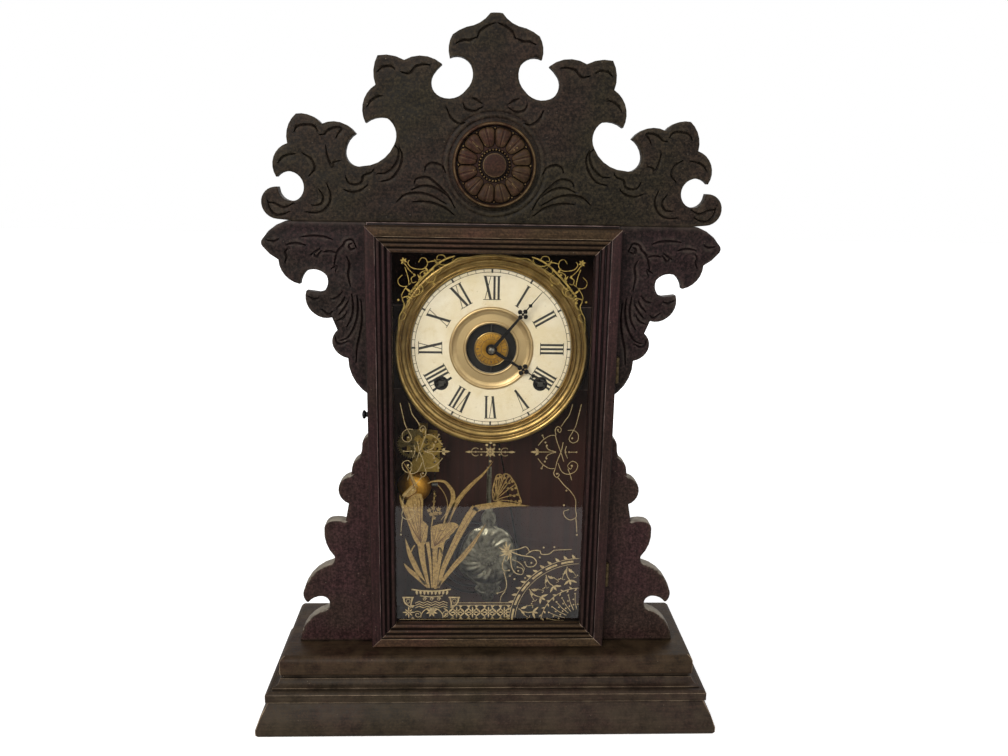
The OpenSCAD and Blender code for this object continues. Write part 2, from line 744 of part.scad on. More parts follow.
// Case leaves with the pins riveted in their outer knuckles
module hinge_case_leaves() {
    leaf(y_front - leaf_t, [[-hinge_h / 2, -third_h / 2], [third_h / 2, hinge_h / 2]]);
    color(steel)
        for (z = hinge_places)
            translate([hinge_x, hinge_y, z - hinge_h / 2 - 0.6])
                cylinder(h = hinge_h + 1.2, r = pin_d / 2, $fn = 32);
}
module hinge_door_leaves() {
    difference() {
        leaf(y_door - mortise_d, [[knuckle_gap - third_h / 2, third_h / 2 - knuckle_gap]]);
        for (z = hinge_places)
            translate([hinge_x, hinge_y, z - third_h / 2])
                cylinder(h = third_h, r = pin_d / 2 + pin_play, $fn = 32);
    }
}

// Dial

module dial_pan() {
    color(paper)
        at_dial(p_centre)
            slab(y_paper, pan_t)
                difference() {
                    circle(bezel_r - 1, $fn = 96);
                    circle(dial_hole_r);
                    for (side = [-1, 1])
                        translate([side * p_great[0], p_great[1]]) circle(winding_hole_r);
                }
}
// Moulded brass rim, and the stepped brass centre with its own rolled edge
module dial_bezel() {
    color(brass)
        at_dial(p_centre)
            translate([0, y_paper, 0])
                rotate([90, 0, 0]) {
                    rotate_extrude($fn = 96)
                        polygon(arcs([[paper_r, 0], 0, [paper_r, 0.8], [paper_r + 0.9, 1.7],
                            [paper_r + 1.8, 1.2], [paper_r + 3.2, bezel_d * 0.5],
                            [paper_r + 5.6, bezel_d * 0.62], 0, [bezel_r - 5.6, bezel_d * 0.72],
                            0, [bezel_r - 5.2, bezel_d * 0.62], [bezel_r - 2.8, bezel_d],
                            [bezel_r, bezel_d * 0.66], 0, [bezel_r, -pan_t], 0,
                            [bezel_r - 0.8, -pan_t], 0, [bezel_r - 0.8, 0]]));
                    rotate_extrude($fn = 96)
                        polygon(arcs([[centre_r, 0], [centre_r - 1.2, 1.8], [centre_r - 2.6, 1.2],
                            0, [centre_r - 3.6, 0.6], 0, [centre_r - 4.2, 0.5], 0,
                            [dial_hole_r + 2.4, 0.5], [dial_hole_r + 1.2, 1.4], [dial_hole_r, 0.6],
                            0, [dial_hole_r, 0]]));
                }
}

// Hands and motion work

// Hand with a pierced cross, pointing up
module hand(y, l, s, hub_r, bore_r) {
    cross_at = l * 0.62;
    difference() {
        union() {
            slab(y, hand_t) circle(hub_r);
            slab(y, hand_t) polygon([[-1.5, 0], [-0.9, cross_at], [0.9, cross_at], [1.5, 0]]);
            slab(y, hand_t) translate([0, cross_at]) rotate(45) square(s * 1.7, center = true);
            for (a = [0 : 90 : 270])
                slab(y, hand_t) translate([0, cross_at]) rotate(a) translate([s * 1.15, 0]) circle(s * 0.75);
            slab(y, hand_t) translate([0, cross_at + 3.7 * s]) rotate(45) square(s * 1.1, center = true);
            slab(y, hand_t) polygon([[-0.55, cross_at], [-0.25, l], [0.25, l], [0.55, cross_at]]);
        }
        slab(y - over, hand_t + 2 * over) circle(bore_r);
        for (a = [45 : 90 : 315])
            slab(y - over, hand_t + 2 * over)
                translate([0, cross_at]) rotate(a) translate([s * 0.62, 0]) circle(s * 0.26, $fn = 24);
    }
}
hour_pipe_r = 2.8;
alarm_pipe_r = 4;
module minute_hand() {
    color(blued)
        at_dial(p_centre)
            rotate([0, minute_at, 0])
                hand(y_minute_hand, minute_len, 2.5, 3.4, arbor_r + 0.3);
}
module hour_hand() {
    color(blued)
        at_dial(p_centre)
            rotate([0, hour_at, 0])
                hand(y_hour_hand, hour_len, 2.7, 4.6, hour_pipe_r);
}
// Arbor with its cannon pinion, and the domed nut that holds the minute hand
module centre_arbor() {
    nut_t = 2;
    color(steel)
        at_dial(p_centre) {
            rod_y(y_minute_hand, y_plate2 - 0.2 - y_minute_hand, arbor_r + 0.3);
            rod_y(y_plate2 - 0.2, plate_t, pivot_r);
            translate([0, y_minute_hand, 0])
                rotate([90, 0, 0])
                    rotate_extrude()
                        polygon(arcs([[0, 0], 0, [3, 0], 0, [3, 0.5], [2.1, 1.6], [0, nut_t]]));
            slab(y_minute_wheel - 0.2, wheel_t + 0.4)
                polygon(pinion_outline(cannon_leaves, minute_mod, 0));
        }
}
module minute_wheel() {
    hour_leaves = cannon_leaves;
    face = in_mesh(p_centre, p_minute_wheel, 0, cannon_leaves, minute_teeth);
    color(brass)
        at_dial(p_minute_wheel) {
            slab(y_minute_wheel, wheel_t)
                rotate(face)
                    wheel_face(wheel_outline(minute_teeth, minute_mod), 6.8, 3.4, 4, 0);
            slab(y_hour_wheel - 0.2, y_minute_wheel - y_hour_wheel + 0.3)
                polygon(pinion_outline(hour_leaves, hour_mod, 0));
            rod_y(y_plate1, y_minute_wheel - y_plate1, pivot_r, 24);
            rod_y(y_minute_wheel, wheel_t + 0.4, arbor_r, 24);
        }
}
module hour_wheel() {
    face = in_mesh(p_minute_wheel, p_centre, 0, cannon_leaves, hour_teeth);
    color(brass)
        at_dial(p_centre)
            difference() {
                union() {
                    slab(y_hour_wheel, wheel_t)
                        rotate(face)
                            polygon(wheel_outline(hour_teeth, hour_mod));
                    rod_y(y_hour_hand, y_hour_wheel - y_hour_hand, hour_pipe_r);
                }
                rod_y(y_hour_hand - over, y_hour_wheel - y_hour_hand + wheel_t + 2 * over,
                    arbor_r + 0.3 + bore_play);
            }
}
module alarm_disc() {
    color(brass)
        at_dial(p_centre)
            difference() {
                union() {
                    rod_y(y_alarm_disc, 0.8, alarm_disc_r);
                    rod_y(y_alarm_disc, 4, alarm_pipe_r);
                }
                rod_y(y_alarm_disc - over, 4 + 2 * over, hour_pipe_r + bore_play);
            }
}

// Plates

plate_top = pivot_up + 6;
plate_outline = [[-18, -62], [18, -62], [56, -46], [69, 4], [69, 17], [40, plate_top],
    [-40, plate_top], [-69, 17], [-69, 4], [-56, -46]];
train_pivots = [p_time_second, p_third, p_fourth, p_escape, p_verge, p_strike_second,
    p_strike_third, p_fly, p_hammer];
module plate_face() {
    difference() {
        polygon(plate_outline);
        for (p = train_pivots) translate(p) circle(pivot_r + bore_play, $fn = 32);
        for (side = [-1, 1]) {
            translate([side * 51, 33]) circle(7);
            translate([side * 51, 2]) circle(8);
        }
    }
}
module movement_front_plate() {
    post_t = dial_room - 0.6;
    post_r = 2.6;
    color(brass)
        at_dial(p_centre) {
            slab(y_plate1, plate_t)
                difference() {
                    plate_face();
                    circle(hour_pipe_r + bore_play);
                    translate(p_minute_wheel) circle(pivot_r + bore_play, $fn = 32);
                    translate(p_verge) circle(arbor_r + bore_play);
                    for (side = [-1, 1])
                        translate([side * p_great[0], p_great[1]]) circle(winding_r + bore_play);
                }
            translate([0, 0, pivot_up + post_r + 0.1]) rod_y(y_plate1 - post_t, post_t, post_r, 32);
        }
}
// Back plate with the riveted pillars and their feet on the back board
module movement_back_plate() {
    color(brass)
        at_dial(p_centre) {
            slab(y_plate2, plate_t)
                difference() {
                    plate_face();
                    circle(pivot_r + bore_play, $fn = 32);
                    for (side = [-1, 1])
                        translate([side * p_great[0], p_great[1]])
                            circle(winding_r * 0.6 + bore_play, $fn = 32);
                }
            for (p = pillar_places) translate([p[0], 0, p[1]]) rod_y(y_gap, plate_gap, pillar_r, 24);
            for (i = [0 : 3]) translate([pillar_places[i][0], 0, pillar_places[i][1]])
                rod_y(y_plate2 + plate_t, y_back - y_plate2 - plate_t, pillar_r, 24);
        }
}

// Going train

// Arbor between the plates with a pivot at each end
module train_arbor() {
    end_play = 0.2;
    rod_y(y_gap + end_play, plate_gap - 2 * end_play, arbor_r, 24);
    rod_y(y_plate1 + 0.1, y_gap + 2 * end_play - y_plate1 - 0.1, pivot_r, 24);
    rod_y(y_plate2 - 2 * end_play, plate_t + end_play, pivot_r, 24);
}
// Wheel with the stud of its click, and the riveted click spring opposite
module great_wheel(p) {
    stud = click_stud(p);
    spring_mid = bearing(stud, [0, 0]);
    color(brass)
        at_dial(p) {
            slab(y_great, great_t)
                wheel_face(wheel_outline(great_teeth, great_mod), 24.6, 19, 6,
                    winding_r + bore_play);
            translate([stud[0], 0, stud[1]]) rod_y(y_great + 1, great_t + ratchet_t - 0.4, 1.1, 24);
            translate([-stud[0], 0, -stud[1]]) rod_y(y_great + 1, great_t + ratchet_t - 0.4, 2, 24);
            slab(y_great + great_t - 0.2, ratchet_t + 0.2)
                polygon(sector(length(stud) - 0.3, length(stud) + 0.3, spring_mid - 40, spring_mid + 40, 8));
        }
}
function click_stud(p) = [p[0] > 0 ? 15.5 : -15.5, 6];
module time_great_wheel() {
    great_wheel(p_great);
}
module time_second_wheel() {
    leaf_at = in_mesh(p_great, p_time_second, 0, great_teeth, first_leaves);
    color(brass)
        at_dial(p_time_second) {
            train_arbor();
            slab(y_second, wheel_t)
                wheel_face(wheel_outline(second_teeth, second_mod), 13.6, 4.4, 5, 0);
            slab(y_second + wheel_t, y_great + great_t + 1 - y_second - wheel_t)
                polygon(pinion_outline(first_leaves, great_mod, leaf_at));
        }
}
// Wheel that drives the hands through a spring clutch on the centre arbor
module centre_wheel() {
    face = in_mesh(p_time_second, p_centre, 0, second_teeth, centre_teeth);
    color(brass)
        at_dial(p_centre)
            difference() {
                union() {
                    slab(y_second, wheel_t)
                        rotate(face) polygon(wheel_outline(centre_teeth, second_mod));
                    rod_y(y_second + wheel_t, 2, 4);
                }
                rod_y(y_second - over, wheel_t + 2 + 2 * over, arbor_r + 0.3 + bore_play);
            }
}
module time_third_wheel() {
    leaf_at = in_mesh(p_time_second, p_third, 0, second_teeth, leaves);
    color(brass)
        at_dial(p_third) {
            train_arbor();
            slab(y_third, wheel_t)
                wheel_face(wheel_outline(third_teeth, third_mod), 11, 3.6, 4, 0);
            slab(y_second - 0.3, wheel_t + 0.6)
                polygon(pinion_outline(leaves, second_mod, leaf_at));
        }
}
module time_fourth_wheel() {
    leaf_at = in_mesh(p_third, p_fourth, 0, third_teeth, leaves);
    color(brass)
        at_dial(p_fourth) {
            train_arbor();
            slab(y_fourth, wheel_t)
                wheel_face(wheel_outline(fourth_teeth, fourth_mod), 10, 3.4, 4, 0);
            slab(y_third - 0.3, wheel_t + 0.6)
                polygon(pinion_outline(leaves, third_mod, leaf_at));
        }
}
module escape_wheel() {
    leaf_at = in_mesh(p_fourth, p_escape, 0, fourth_teeth, leaves);
    color(brass)
        at_dial(p_escape) {
            train_arbor();
            slab(y_escape, wheel_t)
                wheel_face(saw_outline(escape_teeth, escape_r - 2.6, escape_r, 0.75), 8.4, 3.2, 4, 0);
            slab(y_fourth - 0.3, wheel_t + 0.6)
                polygon(pinion_outline(leaves, fourth_mod, leaf_at));
        }
}
// Strip verge with its arbor, and the crutch wire that pushes the pendulum
module verge() {
    crutch_y = y_pan_back + 4.1;
    crutch_down = 23;
    fork = rod_r + 0.85;
    drop = p_verge[1] - p_escape[1];
    pallet_r = escape_r + 1.6;
    color(steel)
        at_dial(p_verge) {
            rod_y(crutch_y, y_plate2 - 0.2 - crutch_y, arbor_r, 24);
            rod_y(y_plate2 - 0.4, plate_t + 0.2, pivot_r, 24);
            slab(y_escape - 0.4, wheel_t + 0.8)
                translate([0, -drop])
                    polygon(sector(pallet_r, pallet_r + 1.4, 38, 142, 8));
            slab(y_escape - 0.4, wheel_t + 0.8)
                polygon([[-1.6, 0], [1.6, 0], [1.2, pallet_r + 0.6 - drop], [-1.2, pallet_r + 0.6 - drop]]);
            wire([0, crutch_y + 0.6, 0], [0, crutch_y + 0.6, -crutch_down], 0.5);
            translate([0, crutch_y + 0.6, -crutch_down])
                cube([2 * fork + 0.8, 1, 1], center = true);
            for (side = [-1, 1])
                translate([side * fork, crutch_y - 1.2, -crutch_down])
                    cube([0.8, 4, 1], center = true);
        }
}

// Winding

module winding_arbor(p) {
    color(steel)
        at_dial(p) {
            translate([0, (y_paper - 1 + y_plate1) / 2, 0])
                cube([square_w, y_plate1 - y_paper + 1, square_w], center = true);
            rod_y(y_plate1, y_plate2 - 0.2 - y_plate1, winding_r);
            rod_y(y_plate2 - 0.2, plate_t, winding_r * 0.6, 32);
            rod_y(y_spring, spring_w, spring_hub_r);
            slab(y_ratchet, ratchet_t)
                scale([p[0] > 0 ? 1 : -1, 1])
                    polygon(saw_outline(ratchet_teeth, ratchet_r - 2, ratchet_r, 0.1));
        }
}
spring_hub_r = winding_r + 1.6;
module time_winding_arbor() {
    winding_arbor(p_great);
}
module strike_winding_arbor() {
    winding_arbor(p_strike_great);
}
// Click that turns on a stud of the great wheel, its nose at the tips of the ratchet
module click(p) {
    side = p[0] > 0 ? 1 : -1;
    stud = [click_stud(p)[0] * side, click_stud(p)[1]];
    nose = (ratchet_r + 0.4) * [cos(52), sin(52)];
    along = (nose - stud) / norm(nose - stud);
    across = [-along[1], along[0]];
    color(steel)
        at_dial(p)
            mirror([side > 0 ? 0 : 1, 0, 0])
                difference() {
                    union() {
                        slab(y_great + great_t + 0.3, ratchet_t)
                            translate(stud) circle(2.2);
                        slab(y_great + great_t + 0.3, ratchet_t)
                            polygon([stud + 1.5 * along - 1.5 * across,
                                stud + 1.5 * along + 1.5 * across, nose, nose - 2.4 * across]);
                    }
                    slab(y_great + great_t, ratchet_t + over)
                        translate(stud) circle(1.1 + bore_play);
                }
}
module time_click() {
    click(p_great);
}
module strike_click() {
    click(p_strike_great);
}
// Open spiral mainsprings: each starts at the hub of its winding arbor and ends with
// a straight run to a pillar
module mainsprings() {
    r0 = spring_hub_r + 0.3 + spring_t / 2;
    steps = 24;
    pillar = pillar_places[0] - p_great;
    coil = [for (i = [0 : steps * (spring_turns + 0.5)])
        let (a = 360 * i / steps) (r0 + spring_pitch * i / steps) * [cos(a), sin(a)]];
    run = pillar - coil[len(coil) - 1];
    line = concat(coil, [pillar - run / norm(run) * (pillar_r + 0.3)]);
    echo("mainspring least gap", least_gap(coil, steps / 2) - spring_t);
    color(blued)
        for (side = [-1, 1])
            at_dial([side * p_great[0], p_great[1]])
                slab(y_spring, spring_w)
                    scale([side, 1])
                        strip(line, spring_t);
}
// Least distance between points of a line at least some number of points apart
function least_gap(line, apart) = min([for (i = [0 : len(line) - 1 - apart],
    j = [i + apart : len(line) - 1]) norm(line[i] - line[j])]);
// Flat strip of one thickness along a line
module strip(line, t) {
    n = len(line);
    side = [for (i = [0 : n - 1])
        let (d = line[min(i + 1, n - 1)] - line[max(i - 1, 0)]) [-d[1], d[0]] / norm(d) * t / 2];
    polygon(concat([for (i = [0 : n - 1]) line[i] - side[i]],
        [for (i = [n - 1 : -1 : 0]) line[i] + side[i]]));
}

// Pendulum

y_rod = y_pan_back + 2.2;
// Spring strip and wire, bowed round the hand pipes, with a hook at its foot
module pendulum_rod() {
    bow_top = 12;
    strip_l = 14;
    hook_z = -pendulum_len + bob_h / 2 + shank_len - 6;
    color(steel)
        at_dial([0, pivot_up]) {
            translate([-1.6, y_rod - 0.2, -strip_l]) cube([3.2, 0.4, strip_l - 0.2]);
            translate([-2.1, y_rod - 0.7, -strip_l - 4]) cube([4.2, 1.4, 5]);
            wire([0, y_rod, -strip_l - 2], [0, y_rod, bow_top - pivot_up], rod_r);
            bowed([[0, bow_top], [-swing_radius, bow_top - 4], [-swing_radius, 4 - bow_top],
                [0, -bow_top]]);
            wire([0, y_rod, -bow_top - pivot_up], [0, y_rod, hook_z], rod_r);
            translate([0, y_rod, hook_z]) sphere(r = rod_r, $fn = 24);
        }
}
module bowed(p) {
    for (i = [0 : len(p) - 2])
        wire([p[i][0], y_rod, p[i][1] - pivot_up], [p[i + 1][0], y_rod, p[i + 1][1] - pivot_up], rod_r);
    for (q = p) translate([q[0], y_rod, q[1] - pivot_up]) sphere(r = rod_r, $fn = 24);
}
// Half outline of the bob, [out, up from its middle], as shares of its width and height
bob_path = [[0, 0.5], 0, [0.06, 0.5], 0, [0.07, 0.46], [0.12, 0.4], [0.1, 0.33], 0,
    [0.16, 0.3], [0.36, 0.22], [0.47, 0.05], [0.5, -0.06], [0.42, -0.2], [0.28, -0.27],
    [0.19, -0.32], 0, [0.22, -0.36], [0.17, -0.41], [0.08, -0.42], 0, [0.1, -0.46],
    [0.06, -0.49], [0, -0.5]];
module bob_face() {
    half = stretched(arcs(bob_path), bob_w, bob_h);
    last = len(half) - 1;
    polygon(concat(half, reversed([for (i = [1 : last - 1]) [-half[i][0], half[i][1]]])));
}
// Pressed bob: a flat ornament with a swelling body
module pendulum_bob() {
    edge_t = 3;
    lens = (bob_w * bob_w / 4 + bob_t * bob_t / 4) / bob_t;
    color(silver)
        at_dial([0, pivot_up - pendulum_len]) {
            slab(y_rod + rod_r + 0.05, edge_t) bob_face();
            intersection() {
                slab(y_rod + rod_r + 0.05 - bob_t, 2 * bob_t + edge_t) bob_face();
                union() {
                    translate([0, y_rod + rod_r + 0.05 + edge_t / 2, -0.04 * bob_h])
                        lens_body(lens, bob_t);
                }
            }
            translate([-shank_w / 2, y_rod + rod_r + 0.05, bob_h / 2 - 1])
                cube([shank_w, 1.2, shank_len + 1]);
        }
}
module lens_body(r, t) {
    intersection() {
        translate([0, r - t / 2, 0]) sphere(r = r, $fn = 240);
        translate([0, t / 2 - r, 0]) sphere(r = r, $fn = 240);
    }
}

// Strike train

module strike_great_wheel() {
    great_wheel(p_strike_great);
}
module strike_second_wheel() {
    leaf_at = in_mesh(p_strike_great, p_strike_second, 0, great_teeth, first_leaves);
    color(brass)
        at_dial(p_strike_second) {
            train_arbor();
            slab(y_second, wheel_t)
                wheel_face(wheel_outline(strike_second_teeth, strike_mod), 10.4, 4.4, 5, 0);
            slab(y_second + wheel_t, y_great + great_t + 1 - y_second - wheel_t)
                polygon(pinion_outline(first_leaves, great_mod, leaf_at));
        }
}
module strike_third_wheel() {
    leaf_at = in_mesh(p_strike_second, p_strike_third, 0, strike_second_teeth, leaves);
    color(brass)
        at_dial(p_strike_third) {
            train_arbor();
            slab(y_strike_third, wheel_t)
                wheel_face(wheel_outline(strike_third_teeth, strike_mod), 10, 3.4, 4, 0);
            slab(y_second - 0.3, wheel_t + 0.6)
                polygon(pinion_outline(leaves, strike_mod, leaf_at));
        }
}
module strike_fly() {
    leaf_at = in_mesh(p_strike_third, p_fly, 0, strike_third_teeth, leaves);
    fly_len = 9;
    y_fly = y_strike_third + 5;
    fly_w = y_plate2 - 3 - y_fly;
    color(brass)
        at_dial(p_fly) {
            train_arbor();
            slab(y_strike_third - 0.3, wheel_t + 0.6)
                polygon(pinion_outline(leaves, strike_mod, leaf_at));
            translate([0, y_fly + fly_w / 2, 0])
                cube([2 * fly_len, fly_w, 0.6], center = true);
        }
}
// Hammer arbor with its lifting tail and the rod down to the gong
module strike_hammer() {
    head = gong_edge + [4.2, -2];
    y_head = y_gong;
    color(steel)
        at_dial(p_hammer) {
            train_arbor();
            translate([0, y_head, 0]) rotate([90, 0, 0])
                translate([0, 0, -2]) cylinder(h = 4, r = 2.4, $fn = 24);
            translate([-9, y_head - 0.6, -0.6]) cube([9, 1.2, 1.2]);
            wire([0, y_head, 0], [head[0] - p_hammer[0], y_head, head[1] - p_hammer[1]], 0.8);
            translate([head[0] - p_hammer[0], y_head, head[1] - p_hammer[1]])
                rotate([0, -12, 0]) {
                    rotate([0, 90, 0]) cylinder(h = 7, r = 3, center = true, $fn = 32);
                }
        }
}

// Gong

p_gong = [-gong_left, z_case + gong_h - z_dial];
y_gong = y_plate2 - 6;
gong_start_r = 6;
gong_edge = p_gong + [gong_start_r + gong_pitch * gong_turns + gong_wire_r, 0];
// Centre line of the gong: straight out of its block, then an opening spiral
gong_steps = 24;
gong_line = concat([[gong_start_r, 0, -2 * gong_wire_r]],
    [for (i = [0 : gong_steps * gong_turns])
        let (a = 360 * i / gong_steps, r = gong_start_r + gong_pitch * i / gong_steps)
        [r * cos(a), 0, r * sin(a)]]);
gong_gap = least_gap(gong_line, gong_steps / 2) - 2 * gong_wire_r;
// Tube along a line that lies in the plane of the dial
module flat_tube(line, r, sides) {
    n = len(line);
    dirs = [for (i = [0 : n - 1])
        let (d = line[min(i + 1, n - 1)] - line[max(i - 1, 0)]) d / norm(d)];
    points = [for (i = [0 : n - 1], k = [0 : sides - 1])
        let (across = [dirs[i][2], 0, -dirs[i][0]], a = 360 * k / sides)
        line[i] + r * (cos(a) * across + [0, sin(a), 0])];
    walls = [for (i = [0 : n - 2], k = [0 : sides - 1])
        let (a = i * sides + k, b = i * sides + (k + 1) % sides)
        each [[a, b, b + sides], [a, b + sides, a + sides]]];
    ends = concat([for (k = [1 : sides - 2]) [0, k + 1, k]],
        [for (k = [1 : sides - 2]) (n - 1) * sides * [1, 1, 1] + [0, k, k + 1]]);
    polyhedron(points, concat(walls, ends));
}
module gong_base() {
    disc_r = 17;
    color(iron)
        at_dial(p_gong) {
            translate([0, y_back, 0])
                rotate([90, 0, 0])
                    rotate_extrude()
                        polygon(arcs([[0, 0], 0, [disc_r, 0], 0, [disc_r, 1.6], [12, 3],
                            [7, gong_base_t], 0, [0, gong_base_t]]));
            translate([gong_start_r - 2.5, y_gong - 2.2, -2 * gong_wire_r - 4])
                cube([5, y_back - gong_base_t / 2 - y_gong + 2.2, 4]);
        }
}
module gong_coil() {
    echo("gong least gap", gong_gap);
    color(blued)
        translate([p_gong[0], y_gong, z_dial + p_gong[1]])
            flat_tube(gong_line, gong_wire_r, 6);
}

// Alarm

y_alarm1 = y_back - 28;
alarm_gap = 17;
y_alarm2 = y_alarm1 + 1.2 + alarm_gap;
y_alarm_wheel = y_alarm1 - 1.8;
y_bell = y_back - 15;
// Outline of an alarm plate around the great wheel's arbor, for arbors 15.6 apart
alarm_path = [[-5, 6], [4, 7], [4, 13], [12, 13], [12, 7], [20.6, 6], [20.6, -6], [13, -8],
    [22.6, -14], [22.6, -25.5], [-2, -25.5], [-2, -18], [6, -8], [-5, -6]];
alarm_feet = [[8, 9.5], [2, -21.5], [12, -21.5]];
alarm_scale = (p_alarm_scape[0] - p_alarm[0]) / 15.6;
// Two narrow plates on three feet
module alarm_frame() {
    color(brass)
        at_dial(p_alarm) {
            for (y = [y_alarm1, y_alarm2])
                slab(y, 1.2)
                    difference() {
                        polygon(alarm_scale * alarm_path);
                        for (p = [p_alarm, p_alarm_scape, p_alarm_verge])
                            translate(p - p_alarm) circle(pivot_r + bore_play, $fn = 32);
                    }
            for (p = alarm_scale * alarm_feet)
                translate([p[0], 0, p[1]]) rod_y(y_alarm1 + 0.8, y_back - y_alarm1 - 0.8, 2, 24);
        }
}
module alarm_arbor() {
    rod_y(y_alarm1 + 1.4, alarm_gap - 0.4, arbor_r, 24);
    rod_y(y_alarm2 - 0.4, 1.4, pivot_r, 24);
    rod_y(y_alarm_wheel - 2.6, y_alarm1 + 1.6 - y_alarm_wheel + 2.6, pivot_r, 24);
}
module alarm_great_wheel() {
    color(old_brass)
        at_dial(p_alarm) {
            alarm_arbor();
            slab(y_alarm_wheel - 0.2, wheel_t)
                wheel_face(wheel_outline(alarm_teeth, alarm_mod), 10, 3.4, 4, 0);
            translate([0, y_alarm_wheel - 2.4, 0]) cube([2.4, 4.4, 2.4], center = true);
        }
}
module alarm_escape_wheel() {
    leaf_at = in_mesh(p_alarm, p_alarm_scape, 0, alarm_teeth, leaves);
    color(old_brass)
        at_dial(p_alarm_scape) {
            alarm_arbor();
            slab(y_alarm_wheel - 0.5, wheel_t + 0.6)
                polygon(pinion_outline(leaves, alarm_mod, leaf_at));
            slab(y_alarm_wheel - 2.4, wheel_t)
                wheel_face(saw_outline(alarm_scape_teeth, 8.6, 10.6, 0.5), 7.4, 3.2, 4, 0);
        }
}
// Alarm verge arbor with the wire and head that beat the bell
module alarm_hammer() {
    head = p_bell - p_alarm_verge + [bell_r + 3.4, 3];
    color(steel)
        at_dial(p_alarm_verge) {
            rod_y(y_alarm1 + 0.1, alarm_gap + 2, pivot_r, 24);
            rod_y(y_alarm1 + 1.4, alarm_gap - 0.4, arbor_r, 24);
            wire([0, y_bell, 0], [head[0], y_bell, head[1]], 0.6);
            translate([head[0], y_bell, head[1]])
                rotate([0, 90, 0]) cylinder(h = 5, r = 2, center = true, $fn = 24);
        }
}
// Bell on its post, open towards the back
module alarm_bell() {
    rim = 3;
    depth = 10;
    color(brass)
        at_dial(p_bell)
            translate([0, y_bell + rim, 0])
                rotate([90, 0, 0]) {
                    rotate_extrude()
                        polygon(concat(
                            arcs([[bell_r, 0], [bell_r * 0.8, depth * 0.62], [2, depth]]),
                            [[0, depth], [0, depth - bell_wall]],
                            arcs([[2, depth - bell_wall], [bell_r * 0.8 - bell_wall,
                                depth * 0.62 - bell_wall * 0.4], [bell_r - bell_wall, 0]])));
                    translate([0, 0, depth]) cylinder(h = 1.6, r = 2.6, $fn = 6);
                    translate([0, 0, -(y_back - y_bell - rim)])
                        cylinder(h = y_back - y_bell - rim + depth - bell_wall / 2, r = 1.8, $fn = 32);
                }
}

plinth_front();
plinth_left();
plinth_right();
base_moulding();
base_deck();
case_left_side();
case_right_side();
case_top();
back_board();
crest_board();
crest_rosette();
ear_upper_left();
ear_upper_right();
ear_lower_left();
ear_lower_right();
door_left_stile();
door_right_stile();
door_top_rail();
door_bottom_rail();
door_glass();
glass_beads();
door_knob();
hinge_door_leaves();
hinge_case_leaves();
dial_pan();
dial_bezel();
centre_arbor();
minute_hand();
hour_wheel();
hour_hand();
minute_wheel();
alarm_disc();
movement_front_plate();
movement_back_plate();
time_great_wheel();
time_second_wheel();
centre_wheel();
time_third_wheel();
time_fourth_wheel();
escape_wheel();
verge();
time_winding_arbor();
time_click();
mainsprings();
pendulum_rod();
pendulum_bob();
strike_great_wheel();
strike_second_wheel();
strike_third_wheel();
strike_fly();
strike_winding_arbor();
strike_click();
strike_hammer();
gong_base();
gong_coil();
alarm_frame();
alarm_great_wheel();
alarm_escape_wheel();
alarm_hammer();
alarm_bell();
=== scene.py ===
"""Looks of the gingerbread clock.

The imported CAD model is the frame. Boards get worked edges, the crest, ears, rosette and
bob get their carved and pressed relief, and the dial, the hands and the glass get their
drawn ornament. Lengths in this file are millimetres until mesh_piece() makes metres.
"""
import json
import math

import bmesh
import bpy
import numpy as np
from mathutils import Matrix, Vector, geometry


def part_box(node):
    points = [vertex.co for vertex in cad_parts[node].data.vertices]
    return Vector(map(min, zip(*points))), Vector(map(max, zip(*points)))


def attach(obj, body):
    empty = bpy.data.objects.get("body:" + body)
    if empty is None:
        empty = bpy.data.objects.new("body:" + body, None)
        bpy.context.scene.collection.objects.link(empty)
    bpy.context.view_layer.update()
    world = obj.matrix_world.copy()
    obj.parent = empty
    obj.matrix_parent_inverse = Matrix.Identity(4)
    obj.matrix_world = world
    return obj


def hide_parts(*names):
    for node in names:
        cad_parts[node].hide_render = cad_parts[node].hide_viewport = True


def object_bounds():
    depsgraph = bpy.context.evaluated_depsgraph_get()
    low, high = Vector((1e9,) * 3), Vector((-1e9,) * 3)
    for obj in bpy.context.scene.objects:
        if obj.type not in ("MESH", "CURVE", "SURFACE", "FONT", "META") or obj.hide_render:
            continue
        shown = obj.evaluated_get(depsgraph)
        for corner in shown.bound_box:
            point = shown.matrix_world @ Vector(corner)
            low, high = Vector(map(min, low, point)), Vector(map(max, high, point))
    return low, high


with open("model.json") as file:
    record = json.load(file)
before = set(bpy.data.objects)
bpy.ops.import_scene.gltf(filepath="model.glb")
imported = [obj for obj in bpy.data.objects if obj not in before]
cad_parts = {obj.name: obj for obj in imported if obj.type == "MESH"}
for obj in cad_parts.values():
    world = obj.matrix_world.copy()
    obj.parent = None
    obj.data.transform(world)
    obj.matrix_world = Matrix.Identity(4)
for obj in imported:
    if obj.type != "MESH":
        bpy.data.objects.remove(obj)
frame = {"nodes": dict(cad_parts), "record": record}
cad_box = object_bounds()
MM = 0.001
SIDES = ((-1, "left"), (1, "right"))
WELD = 2e-6  # metres within which corners of a CAD mesh are one
TOUCHING = 1e-7  # and of a mesh drawn here
BODY_OF = {node: body for body, nodes in frame["record"]["behaviour"]["bodies"].items()
           for node in nodes}


def box_mm(node):
    """Lowest and highest corners of a CAD node, in millimetres."""
    lo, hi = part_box(node)
    return np.array(lo) / MM, np.array(hi) / MM


def link(obj):
    bpy.context.scene.collection.objects.link(obj)


def welded(node):
    """A CAD node's mesh, to work on, with its corners joined."""
    bm = bmesh.new()
    bm.from_mesh(frame["nodes"][node].data)
    bmesh.ops.remove_doubles(bm, verts=bm.verts, dist=WELD)
    return bm


def mesh_of(bm, name):
    mesh = bpy.data.meshes.new(name)
    bm.to_mesh(mesh)
    bm.free()
    return mesh


